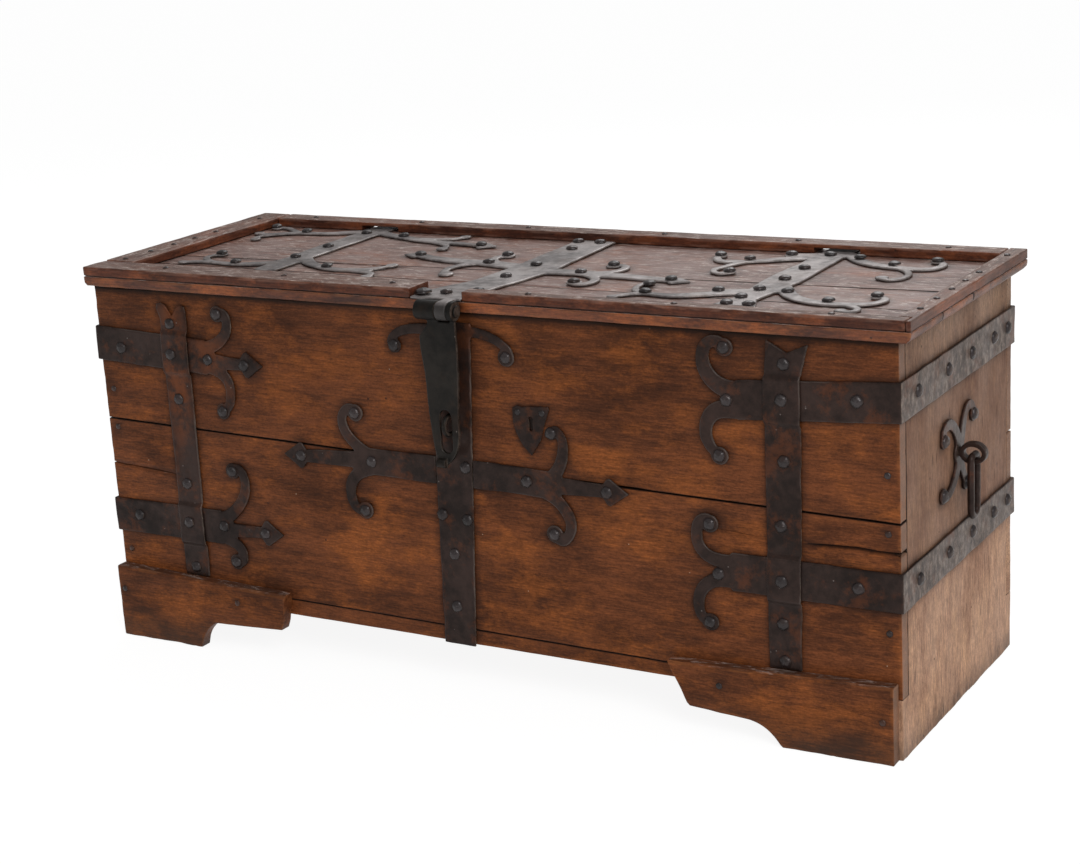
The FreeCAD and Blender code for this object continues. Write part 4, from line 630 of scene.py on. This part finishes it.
def forged(node, voxel, bend, dent):
    """A hammered forging in place of a CAD node; bend and dent are how far it is out of true."""
    mesh = remeshed(node, voxel)
    sharp = mesh_points(mesh)
    pairs = np.empty(len(mesh.edges) * 2, np.int64)
    mesh.edges.foreach_get("vertices", pairs)
    points = soften(sharp, pairs.reshape(-1, 2), SOFTENINGS)
    wear = np.clip(np.linalg.norm(points - sharp, axis=1) / RUBBED_THROUGH, 0, 1)
    seed = name_seed(node)
    drift = np.stack([lumps(points, BEND_WIDTH, seed + axis) for axis in range(3)], axis=1)
    ripple = np.stack([lumps(points, DENT_WIDTH, seed + 7 + axis) for axis in range(3)], axis=1)
    points = within_cad(points + drift * bend + ripple * dent, node)
    if node == "hasp_pin":
        points = thin_shaft(points, node)
    mesh.vertices.foreach_set("co", points.ravel())
    mesh.update()
    dust_and_light = np.full(len(points), HANDLE_DUST_AND_LIGHT if node.startswith("handle") else 1.0)
    stand_for(node, "forged", mesh, {"wear": wear, "rust": rust_share(node, points), "dust_and_light": dust_and_light})
    return points


SIDED_IRONS = ("handle_plate", "handle_eye", "handle_bail", "hinge_pin", "hinge_leaf")
FINE_IRONS = [
    *("hasp", "hasp_pin", "hasp_staple", "escutcheon"),
    *(f"{part}_{side}" for part in SIDED_IRONS for side in ("left", "right")),
    *("lock_bolt", "lock_studs", "bolt_guides", "lid_lock_staple", "lock_case"),
]
STRAPS = [n for n in nodes if "strap" in n or n.startswith("cross_arm")]
iron_points = [forged(node, voxel=1.0 * MM, bend=0.0, dent=0.08 * MM) for node in FINE_IRONS]
iron_points += [forged(node, voxel=1.4 * MM, bend=0.7 * MM, dent=0.12 * MM) for node in STRAPS]


# ---- nails

# how high a forged head stands at shares of its radius, from its skirt to its crown
HEAD_PROFILE = ((1.0, -0.35), (0.98, 0.1), (0.88, 0.4), (0.7, 0.68), (0.46, 0.88), (0.2, 0.98))
HEAD_SIDES = 20
# a head of more than this radius is one of the big ones
BIG_HEAD = 6 * MM
# how high a head stands, as a share of its radius
LID_HEAD_RISE = 0.36
BIG_HEAD_RISE = 0.56
SMALL_HEAD_RISE = 0.4
# a head's outline: its mean radius, the depth of its hammered facets and its unevenness, as shares
HEAD_REACH = 0.94
HEAD_FACET = 0.045
HEAD_ROUGH = 0.02
# how rusted the small heads in bare wood are
RUSTY_HEADS = {"plank_nails": 1.0, "foot_nails": 1.0, "rim_nails": 0.6}
# the nails that stain the wood near them
STAINING_NAILS = ("front_nails", "plank_nails", "foot_nails", "end_nails_right")


def islands(node):
    """The loose parts of a CAD node, as arrays of their corners."""
    shape = bmesh.new()
    shape.from_mesh(nodes[node].data)
    bmesh.ops.remove_doubles(shape, verts=shape.verts, dist=1e-6)
    left = set(shape.verts)
    parts = []
    while left:
        front = [left.pop()]
        part = list(front)
        while front:
            near = {e.other_vert(v) for v in front for e in v.link_edges} & left
            left -= near
            front = list(near)
            part += front
        parts.append(np.array([v.co for v in part]))
    shape.free()
    return parts


def nail_facing(node, centre):
    """Which way a nail's head faces."""
    if node in ("end_nails_left", "end_nails_right"):
        return Vector((math.copysign(1, centre[X]), 0, 0))
    if node in ("lid_nails", "rim_nails"):
        return Vector((0, 0, 1))
    if node == "staple_nails":
        return Vector((0, 0, -1))
    if node in ("back_nails", "lock_nails") or (node == "plank_nails" and centre[Y] > 0):
        return Vector((0, 1, 0))
    return Vector((0, -1, 0))


def head_rise(node, radius):
    """How high a nail's head stands, as a share of its radius."""
    if node == "lid_nails":
        return LID_HEAD_RISE
    return BIG_HEAD_RISE if radius > BIG_HEAD else SMALL_HEAD_RISE


def head_points(node, part):
    """The corners of one hammered head: rings from the skirt up, then the crown."""
    low = part.min(0)
    high = part.max(0)
    centre = (low + high) / 2
    facing = nail_facing(node, centre)
    axis = max(range(3), key=lambda i: abs(facing[i]))
    radius = max(high[i] - low[i] for i in range(3) if i != axis) / 2
    height = radius * head_rise(node, radius)
    base = centre.copy()
    base[axis] = (high[axis] if facing[axis] > 0 else low[axis]) - height * facing[axis]
    turn = facing.to_track_quat("Z", "Y").to_matrix()
    seed = int(abs(centre[0] * 7919 + centre[1] * 1039 + centre[2] * 104729) * 100) % 9973
    chance = np.random.default_rng(seed)
    phase = chance.uniform(0, 6.28)
    lean = chance.uniform(-0.12, 0.12, 2)
    facets = chance.integers(4, 7)
    points = []
    for share, rise in HEAD_PROFILE:
        for side in range(HEAD_SIDES):
            angle = 2 * math.pi * side / HEAD_SIDES
            facet = math.cos(facets * angle + phase)
            outline = HEAD_REACH + HEAD_FACET * facet + HEAD_ROUGH * chance.uniform(-1, 1)
            reach = share * radius * outline
            across = reach * math.cos(angle)
            up = reach * math.sin(angle)
            lift = height * rise * (0.96 + 0.04 * facet)
            lift += (across * lean[0] + up * lean[1]) * (1 - share) * 1.5
            points.append(Vector(base) + turn @ Vector((across, up, min(lift, height))))
    points.append(Vector(base) + turn @ Vector((0, 0, height * 0.99)))
    return points


def head_faces(start):
    """The faces of one head whose corners begin at a number: rings of quads, then a fan up to the crown."""
    faces = []
    rings = range(len(HEAD_PROFILE) - 1)
    for ring, side in itertools.product(rings, range(HEAD_SIDES)):
        a = start + ring * HEAD_SIDES + side
        b = start + ring * HEAD_SIDES + (side + 1) % HEAD_SIDES
        faces.append((a, b, b + HEAD_SIDES, a + HEAD_SIDES))
    last = start + (len(HEAD_PROFILE) - 1) * HEAD_SIDES
    crown = last + HEAD_SIDES
    return faces + [(last + side, last + (side + 1) % HEAD_SIDES, crown) for side in range(HEAD_SIDES)]


def nail_heads(node):
    """Hammered heads in place of a CAD node's nails."""
    points = []
    faces = []
    for part in islands(node):
        faces += head_faces(len(points))
        points += head_points(node, part)
    points = within_cad(np.array(points), node)
    rust = np.full(len(points), RUSTY_HEADS.get(node, 0.0))
    stand_for(node, "heads", new_mesh(points.tolist(), faces), {"rust": rust})
    return points


for node in sorted(nodes):
    if node.endswith("_nails") or node.startswith("end_nails"):
        heads = nail_heads(node)
        if node in STAINING_NAILS:
            iron_points.append(heads)

# one iron point in five is near enough to find how far the wood is from the iron
iron_points = np.concatenate(iron_points)[::5]
iron_tree = kdtree.KDTree(len(iron_points))
for index, point in enumerate(iron_points):
    iron_tree.insert(point, index)
iron_tree.balance()


# ---- boards: a block of grid lines whose arrises are rounded by wear and whose faces are dented

# how far the dirt in a joint reaches over the face, and how far the painted shadow under the lid does
JOINT = 1.4 * MM
LID_SHADOW = 9 * MM
# how far the iron stains the wood
STAIN_REACH = 22 * MM
# half of the short stretch in which an edge takes a step
STEP = 0.05 * MM
# how near corners of the CAD count as at a board's end, and as on its face
AT_END = 0.5 * MM
ON_FACE = 0.1 * MM
# how far a crack closes towards its end, and how far past its end the grid is still bent
CRACK_TAPER = 30 * MM
CRACK_REACH = 40 * MM
# the broad and the narrow waves of a crack, as their width and how far they swing
CRACK_WAVE = (45 * MM, 1.6 * MM)
CRACK_RIPPLE = (14 * MM, 0.5 * MM)
# how many grid lines on each side of a crack move with it
CRACK_LINES = 8
# the size of chips and of roughness along an arris
CHIP_SIZE = (55 * MM, 30 * MM, 30 * MM)
ROUGH_SIZE = (18 * MM, 12 * MM, 12 * MM)
# how far from two faces at once still counts as rubbed
RUBBED_REACH = 5 * MM
# what age does to a face: the size and the depth of its hollows, its raised grain and its knocks
HOLLOWS = ((160 * MM, 60 * MM, 60 * MM), 0.25 * MM)
RAISED_GRAIN = ((60 * MM, 4 * MM, 4 * MM), 0.08 * MM)
KNOCKS = (11 * MM, 1.6 * MM)
# the keyhole's middle, and how far the plank is painted black behind the scutcheon, as the shade inside the
# keyhole
KEYHOLE = (0.115, 0.411)
KEYHOLE_SHADE = 9 * MM
FOOT_BEVEL = 3.5 * MM
LID_BEVEL = 7 * MM
NOTCH_HEIGHT = 8 * MM
# the gap between the right rim and the end of the front rim
LAP_GAP = 0.3 * MM
# the grid of the boards that are mostly out of sight
COARSE = {"step": 12 * MM, "cross_step": 6 * MM}


def block_shell(counts):
    """The surface of a block of grid lines: the line numbers of its points, and its quads."""
    quads = []
    for axis in range(3):
        a, b = (axis + 1) % 3, (axis + 2) % 3
        first, second = np.meshgrid(np.arange(counts[a] - 1), np.arange(counts[b] - 1), indexing="ij")
        for level, order in ((0, -1), (counts[axis] - 1, 1)):
            corners = []
            for da, db in ((0, 0), (1, 0), (1, 1), (0, 1))[::order]:
                cell = np.empty((first.size, 3), np.int64)
                cell[:, axis] = level
                cell[:, a] = (first + da).ravel()
                cell[:, b] = (second + db).ravel()
                corners.append(cell)
            quads.append(np.stack(corners, axis=1))
    quads = np.concatenate(quads)
    keys = quads @ np.array([counts[1] * counts[2], counts[2], 1])
    names, flat = np.unique(keys, return_inverse=True)
    numbers = np.stack(np.unravel_index(names, counts), axis=1)
    return numbers, flat.reshape(keys.shape)


def grid_lines(length, step, marks=()):
    """Grid lines along one side of a board, crowded at both ends where the arris is rounded."""
    near = np.array([0, 0.5, 1.2, 2.2, 3.5, 5.5, 8]) * MM
    near = near[near < length / 2]
    middle = np.linspace(near[-1], length - near[-1], max(2, round((length - 2 * near[-1]) / step) + 1))
    return np.unique(np.concatenate([near, middle, length - near, marks]).round(5))


def step_marks(place, *more):
    """Grid lines beside a step in an edge, and at more distances from it."""
    return [place + shift for shift in (-2 * STEP, 2 * STEP, *more)]


def stepped(start, before, place, after, stop):
    """An edge with one step in it, as (place along, edge) points."""
    return [(start, before), (place - STEP, before), (place + STEP, after), (stop, after)]


class Board:
    """A board of old oak. Its axes are: along the grain, across it, and through it."""

    def __init__(self, node, axes, radius=1.6 * MM, step=7 * MM, cross_step=4 * MM):
        self.node = node
        self.axes = list(axes)
        self.radius = radius
        self.step = step
        self.cross_step = cross_step
        self.seed = name_seed(node)
        low, high = (np.array(corner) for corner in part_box(node))
        self.low = low[self.axes]
        self.high = high[self.axes]
        self.ends = (self.low[0], self.high[0])
        self.corners = mesh_points(nodes[node].data)[:, self.axes]
        # the edges across the grain and through the board, as (place along, edge) points
        self.edges = {(1, side): self.end_levels(1, side) for side in ("low", "high")}
        for side, limit in (("low", self.low[2]), ("high", self.high[2])):
            self.edges[2, side] = [(end, limit) for end in self.ends]
        # more grid lines along the board
        self.marks = []
        self.cracks = []
        self.chamfers = []
        # the faces that meet another board, as (axis, side), and where along the board they begin
        self.joined = []
        self.joined_from = self.low[0]
        # whether a painted shadow darkens the front face under the lid
        self.shadowed_under_lid = False
        # whether the plank is painted black behind the keyhole as its shade
        self.shaded_behind_keyhole = False

    def end_levels(self, axis, side):
        """An edge that runs straight from one end of the CAD board to the other."""
        pick = np.min if side == "low" else np.max
        ends = []
        for end in self.ends:
            there = self.corners[abs(self.corners[:, 0] - end) < AT_END]
            ends.append((end, pick(there[:, axis])))
        return ends

    def edge(self, axis, side, along):
        places, values = zip(*self.edges[axis, side])
        return np.interp(along, places, values)

    def crack(self, start, stop, width, depth):
        """A split from one place on the face to another, each (along, across)."""
        self.cracks.append((start, stop, width, depth))

    def at_end(self, place):
        return min(abs(place - end) for end in self.ends) < 2 * MM

    def open_crack(self, rows, table, split, crack):
        """Bend the grid along a crack, and say how deep each of its points is split."""
        start, stop, width, depth = crack
        first, last = sorted((start[0], stop[0]))
        path = start[1] + (stop[1] - start[1]) * np.clip((rows - start[0]) / (stop[0] - start[0]), 0, 1)
        spots = np.stack([rows, np.full_like(rows, start[1]), np.zeros_like(rows)], axis=1)
        for (width_of_wave, swing), seed in ((CRACK_WAVE, self.seed), (CRACK_RIPPLE, 5)):
            path = path + lumps(spots, width_of_wave, seed) * swing
        inside = (rows >= first - 1e-6) & (rows <= last + 1e-6)
        middle = np.flatnonzero(inside)[inside.sum() // 2]
        line = int(np.argmin(abs(table[middle] - path[middle])))
        line = min(max(line, CRACK_LINES), table.shape[1] - CRACK_LINES - 1)
        gape = np.where(inside, 1.0, 0)
        for end in (start[0], stop[0]):
            if not self.at_end(end):
                gape = gape * np.clip(abs(rows - end) / CRACK_TAPER, 0, 1)
        reach = fading(np.maximum(first - rows, rows - last), CRACK_REACH)
        shift = (path - table[:, line]) * reach
        base = table[:, line] + shift
        for m in range(2, CRACK_LINES):
            table[:, line - m] += shift * (1 - m / CRACK_LINES)
            table[:, line + m] += shift * (1 - m / CRACK_LINES)
        table[:, line] = base
        narrow = width * (0.35 + 0.65 * gape)
        half = narrow * reach + self.cross_step * 0.8 * (1 - reach)
        table[:, line - 1] = base - half
        table[:, line + 1] = base + half
        split[:, line] = np.maximum(split[:, line], gape * depth)

    def round_arrises(self, sharp, low, high):
        """The points with their arrises rounded, the way each was drawn in, and how worn each is."""
        chip = np.clip(lumps(sharp, CHIP_SIZE, self.seed + 3) - 0.35, 0, 1)
        rough = 1 + 0.45 * lumps(sharp, ROUGH_SIZE, self.seed + 1)
        radius = self.radius * (rough + 2.4 * chip)
        radius = np.minimum(radius, ((high - low) / 2).min(axis=1) * 0.96)[:, None]
        core = np.clip(sharp, low + radius, high - radius)
        reach = sharp - core
        length = np.linalg.norm(reach, axis=1, keepdims=True)
        normal = reach / np.maximum(length, 1e-9)
        points = np.where(length > radius, core + normal * radius, sharp)
        rounding = np.linalg.norm(points - sharp, axis=1) / np.maximum(radius[:, 0], 0.3 * MM)
        near = ((sharp - low) < RUBBED_REACH).sum(axis=1) + ((high - sharp) < RUBBED_REACH).sum(axis=1)
        zone = np.maximum(np.clip(2.2 * rounding, 0, 1), np.where(near >= 2, 0.45, 0))
        wear = np.clip(zone * (0.55 + 1.3 * chip + 0.4 * (rough - 1)), 0, 1)
        return points, normal, wear

    def dents(self, sharp):
        """How far each point of a face is sunk by age: broad hollows, raised grain and knocks."""
        sunk = np.zeros(len(sharp))
        for (size, depth), seed in ((HOLLOWS, self.seed + 5), (RAISED_GRAIN, self.seed + 6)):
            sunk += depth * (1 + lumps(sharp, size, seed))
        size, depth = KNOCKS
        return sunk + depth * np.clip(lumps(sharp, size, self.seed + 8) - 0.72, 0, 1)

    def dirty_and_shaded(self, sharp, low, high, dirt_and_shade, wear):
        """The dirt and the wear, with black joints that are not rubbed, and painted shade under the lid and
        behind the keyhole.
        """
        for axis, side in self.joined:
            far = abs(sharp[:, axis] - (low if side == "low" else high)[:, axis])
            far = np.where(sharp[:, 0] < self.joined_from, 1.0, far)
            dirt_and_shade = np.maximum(dirt_and_shade, 0.95 * fading(far, JOINT, 1.35))
            wear = wear * np.clip(far / (3 * JOINT) - 0.5, 0, 1)
        # painted shadow: the front face darkens towards its top, below the lid's edge
        if self.shadowed_under_lid:
            far = (high - sharp)[:, 1] + 100 * np.clip(sharp[:, 2] - low[:, 2] - 0.5 * MM, 0, None)
            dirt_and_shade = np.maximum(dirt_and_shade, 0.9 * fading(far, LID_SHADOW, 1.35))
        # painted shade: black behind the keyhole, where the hole is dark
        if self.shaded_behind_keyhole:
            far = np.linalg.norm(sharp[:, :2] - KEYHOLE, axis=1)
            dirt_and_shade = np.maximum(dirt_and_shade, fading(far, KEYHOLE_SHADE, 1.8))
        return dirt_and_shade, wear

    def stains(self, points):
        """How dark the wood is near the iron: 1 beside it, fading out."""
        near = np.array([iron_tree.find(p)[2] for p in points])
        return fading(near, STAIN_REACH) ** 1.6

    def grid(self):
        """The board as the CAD has it, with cracks drawn: points, limits, quads and how deep it splits."""
        rows = grid_lines(self.high[0] - self.low[0], self.step, self.marks) + self.low[0]
        breadth, depth = (self.high - self.low)[1:]
        columns = grid_lines(breadth, self.cross_step) / breadth
        depths = grid_lines(depth, 5 * MM) / depth
        numbers, quads = block_shell((len(rows), len(columns), len(depths)))
        i, j, k = numbers.T
        low_v = self.edge(1, "low", rows)
        high_v = self.edge(1, "high", rows)
        table = low_v[:, None] + columns[None, :] * (high_v - low_v)[:, None]
        split = np.zeros_like(table)
        for crack in self.cracks:
            self.open_crack(rows, table, split, crack)
        low = np.stack([np.full(len(i), self.low[0]), low_v[i], self.edge(2, "low", rows)[i]], axis=1)
        high = np.stack([np.full(len(i), self.high[0]), high_v[i], self.edge(2, "high", rows)[i]], axis=1)
        sharp = np.stack([rows[i], table[i, j], low[:, 2] + depths[k] * (high[:, 2] - low[:, 2])], axis=1)
        return sharp, low, high, quads, split[i, j]

    def build(self):
        sharp, low, high, quads, split = self.grid()
        points, normal, wear = self.round_arrises(sharp, low, high)
        dirt_and_shade, wear = self.dirty_and_shaded(sharp, low, high, np.clip(split / (2 * MM), 0, 1), wear)
        points = points - normal * (self.dents(sharp) + split)[:, None]
        for chamfer in self.chamfers:
            points = chamfer(points)
        whole = np.empty_like(points)
        whole[:, self.axes] = points
        if np.linalg.det(np.eye(3)[self.axes]) < 0:
            quads = quads[:, ::-1]
        grain = sharp + np.random.default_rng(self.seed).uniform(0, 9, 3)
        values = {"grain": grain, "wear": wear, "stain": self.stains(whole), "dirt_and_shade": dirt_and_shade}
        stand_for(self.node, "oak", new_mesh(whole.tolist(), quads.tolist()), values)


def front_planks():
    """The two wide front planks; the lower one is cracked from both ends."""
    lower = Board("front_plank_lower", (X, Z, Y))
    lower.crack((lower.low[0], 0.282), (-0.526, 0.273), width=1.3 * MM, depth=10 * MM)
    lower.crack((0.516, 0.2855), (lower.high[0], 0.285), width=1.1 * MM, depth=9 * MM)
    lower.crack((0.386, 0.291), (0.463, 0.287), width=0.5 * MM, depth=3 * MM)
    lower.joined += [(1, "high"), (1, "low")]
    lower.build()
    upper = Board("front_plank_upper", (X, Z, Y))
    upper.joined.append((1, "low"))
    upper.shadowed_under_lid = True
    upper.shaded_behind_keyhole = True
    upper.build()


def bottom_board(node):
    """A bottom board, thinner towards the right."""
    board = Board(node, (X, Y, Z), **COARSE)
    for side in ("low", "high"):
        board.edges[2, side] = board.end_levels(2, side)
    board.joined.append((2, "high"))
    board.build()


def end_board(node):
    """An upright end board, which is wider below the planks."""
    end = Board(node, (Z, Y, X))
    foot = sorted(set(end.corners[:, 0].round(5)))[1]
    plank_inner_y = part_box("front_plank_lower")[1].y
    back_inner_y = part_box("back_plank_lower")[0].y
    end.edges[1, "low"] = stepped(0, end.low[1], foot, plank_inner_y, end.high[0])
    end.edges[1, "high"] = stepped(0, end.high[1], foot, back_inner_y, end.high[0])
    end.joined += [(1, "low"), (1, "high")]
    end.joined_from = foot
    end.marks = step_marks(foot, 1.5 * MM, -1.5 * MM)
    end.build()


def foot_board(node):
    """A bracket foot: its underside is sawn to the outline of the CAD foot."""
    foot = Board(node, (X, Z, Y), radius=2.2 * MM, step=4 * MM)
    rear = foot.corners[abs(foot.corners[:, 2] - foot.high[2]) < ON_FACE]
    ends = (rear[:, 0].min(), rear[:, 0].max())
    tops = [rear[abs(rear[:, 0] - end) < ON_FACE][:, 1].max() for end in ends]
    under = rear[rear[:, 1] < np.interp(rear[:, 0], ends, tops) - 1 * MM]
    chain = {}
    for along, across, _ in under:
        key = round(along, 5)
        chain[key] = min(across, chain.get(key, 1.0))
    for end, top in zip(ends, tops):
        chain.setdefault(round(end, 5), top - 2 * MM)
    foot.edges[1, "low"] = sorted(chain.items())
    foot.edges[1, "high"] = list(zip(ends, tops))

    def chamfer(points):
        level = np.interp(points[:, 0], ends, tops)
        limit = foot.low[2] + np.clip(points[:, 1] - (level - FOOT_BEVEL), 0, None)
        points[:, 2] = np.maximum(points[:, 2], limit)
        return points

    foot.chamfers.append(chamfer)
    foot.build()


def lid_board(node, joined):
    """A board of the lid: its ends are cut back underneath."""
    lid = Board(node, (X, Y, Z), radius=2.0 * MM)

    def chamfer(points):
        below = np.clip(lid.low[2] + LID_BEVEL - points[:, 2], 0, None)
        points[:, 0] = np.clip(points[:, 0], lid.low[0] + below, lid.high[0] - below)
        return points

    lid.chamfers.append(chamfer)
    lid.joined += [(1, side) for side in joined]
    return lid


def lid_boards():
    lid_board("lid_board_front", ("high",)).build()
    middle = lid_board("lid_board_middle", ("high", "low"))
    for start, stop in (
        ((-0.350, -0.045), (-0.180, -0.043)),
        ((-0.095, -0.110), (0.120, -0.107)),
        ((0.500, -0.007), (0.620, 0.004)),
    ):
        middle.crack(start, stop, width=0.8 * MM, depth=4 * MM)
    middle.build()
    lid_board("lid_board_rear", ("low",)).build()


def rim_strip(node, axes, radius=2.4 * MM):
    """A raised strip nailed on the lid."""
    rim = Board(node, axes, radius=radius, cross_step=3 * MM)
    rim.joined.append((2, "low"))
    return rim


def right_rim():
    """The right strip, whose front end is cut back beside the front strip."""
    rim = rim_strip("lid_rim_right", (Y, X, Z), radius=2.2 * MM)
    inner = rim.corners[:, 1].min()
    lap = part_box("lid_rim_front_right")[1]
    lap_x, lap_y = lap.x + LAP_GAP, lap.y + LAP_GAP
    rim.edges[1, "low"] = stepped(rim.low[0], lap_x, lap_y, inner, rim.high[0])
    rim.marks = step_marks(lap_y - rim.low[0], 1.5 * MM)
    rim.build()


def rear_rim():
    """The rear strip, notched underneath for the two hinge straps."""
    rim = Board("lid_rim_rear", (X, Y, Z), radius=2.4 * MM, cross_step=3 * MM)
    bottom, notch_top = rim.low[2], rim.low[2] + NOTCH_HEIGHT
    inside = [(x, z) for x, _, z in rim.corners if rim.low[0] < x < rim.high[0]]
    steps = sorted({round(x, 5) for x, z in inside if abs(z - notch_top) < 0.3 * MM})
    under = [(rim.low[0], bottom)]
    for number, place in enumerate(steps):
        before, after = (bottom, notch_top) if number % 2 == 0 else (notch_top, bottom)
        under += [(place - STEP, before), (place + STEP, after)]
        rim.marks += step_marks(place - rim.low[0])
    rim.edges[2, "low"] = under + [(rim.high[0], bottom)]
    rim.build()


front_planks()
for node in ("back_plank_lower", "back_plank_upper"):
    Board(node, (X, Z, Y), **COARSE).build()
bottom_board("bottom_board_front")
bottom_board("bottom_board_rear")
end_board("end_board_left")
end_board("end_board_right")
foot_board("foot_front_left")
foot_board("foot_front_right")
lid_boards()
rim_strip("lid_rim_front_left", (X, Y, Z)).build()
rim_strip("lid_rim_front_right", (X, Y, Z)).build()
rim_strip("lid_rim_left", (Y, X, Z)).build()
right_rim()
rear_rim()


# ---- camera, light and floor

# where the camera stands, how it is tilted, rolled and turned in radians, and its lens in millimetres
CAMERA_PLACE = (1.5854, -2.6714, 1.2046)
CAMERA_TILT, CAMERA_ROLL, CAMERA_TURN = -0.2749, -0.059, -0.5365
CAMERA_LENS, CAMERA_SENSOR = 71.862, 36
FLOOR_SIZE = 60.0
# the share of the floor that shines white in the view, and how strongly; the rest of it keeps the shadow
FLOOR_SHINE = 0.8
FLOOR_STRENGTH = 1.13
# how strongly the white surroundings light the chest
SURROUND = 0.45


def camera():
    """The view: from the front right, a little above the lid."""
    tilt, roll, turn = CAMERA_TILT, CAMERA_ROLL, CAMERA_TURN
    ahead = Vector((math.sin(turn) * math.cos(tilt), math.cos(turn) * math.cos(tilt), math.sin(tilt)))
    level = Vector((math.cos(turn), -math.sin(turn), 0))
    above = level.cross(ahead)
    right = math.cos(roll) * level + math.sin(roll) * above
    up = math.cos(roll) * above - math.sin(roll) * level
    data = bpy.data.cameras.new("camera")
    data.sensor_fit = "HORIZONTAL"
    data.sensor_width = CAMERA_SENSOR
    data.lens = CAMERA_LENS
    data.clip_end = 100
    made = bpy.data.objects.new("camera", data)
    place = Matrix((right, up, -ahead)).transposed().to_4x4()
    place.translation = Vector(CAMERA_PLACE)
    made.matrix_world = place
    bpy.context.scene.collection.objects.link(made)
    bpy.context.scene.camera = made


def area_light(name, place, aim, size, power):
    """A round soft light, aimed at a point."""
    data = bpy.data.lights.new(name, "AREA")
    data.shape = "DISK"
    data.size = size
    data.energy = power
    made = bpy.data.objects.new(name, data)
    made.location = place
    made.rotation_euler = (Vector(place) - Vector(aim)).to_track_quat("Z", "Y").to_euler()
    bpy.context.scene.collection.objects.link(made)


def floor():
    """A white floor that keeps the chest's shadow."""
    size = FLOOR_SIZE / 2
    mesh = new_mesh([(-size, -size, 0), (size, -size, 0), (size, size, 0), (-size, size, 0)], [(0, 1, 2, 3)])
    made = bpy.data.objects.new("floor", mesh)
    bpy.context.scene.collection.objects.link(made)
    white = Finish("floor_white")
    white.surface(Base_Color=(0.9, 0.9, 0.9, 1), Roughness=0.9, Specular_IOR_Level=0.0)
    glow = white.node("ShaderNodeEmission", {"Color": (1, 1, 1, 1), "Strength": FLOOR_STRENGTH})
    path = white.node("ShaderNodeLightPath")
    seen = white.math("MAXIMUM", path.outputs["Is Camera Ray"], path.outputs["Is Glossy Ray"])
    share = white.times(seen, FLOOR_SHINE)
    both = white.node("ShaderNodeMixShader", {0: share, 1: white.shader.outputs[0], 2: glow.outputs[0]})
    white.tree.links.new(both.outputs[0], white.tree.nodes["Material Output"].inputs[0])
    mesh.materials.append(white.material)


def world():
    """White behind the chest and a plain soft light all round."""
    made = bpy.data.worlds.new("studio")
    made.use_nodes = True
    bpy.context.scene.world = made
    tree = made.node_tree
    lit = tree.nodes["Background"]
    seen = tree.nodes.new("ShaderNodeBackground")
    for background, strength in ((lit, SURROUND), (seen, 1.0)):
        background.inputs["Color"].default_value = (1, 1, 1, 1)
        background.inputs["Strength"].default_value = strength
    path = tree.nodes.new("ShaderNodeLightPath")
    both = tree.nodes.new("ShaderNodeMixShader")
    tree.links.new(path.outputs["Is Camera Ray"], both.inputs[0])
    tree.links.new(lit.outputs[0], both.inputs[1])
    tree.links.new(seen.outputs[0], both.inputs[2])
    tree.links.new(both.outputs[0], tree.nodes["World Output"].inputs[0])


camera()
floor()
world()
area_light("key", place=(3.1, -2.7, 3.1), aim=(0, 0, 0.35), size=2.4, power=100)
area_light("back", place=(-0.6, 3.2, 3.4), aim=(0, 0, 0.5), size=2.4, power=60)
bpy.context.scene.view_settings.view_transform = "Standard"
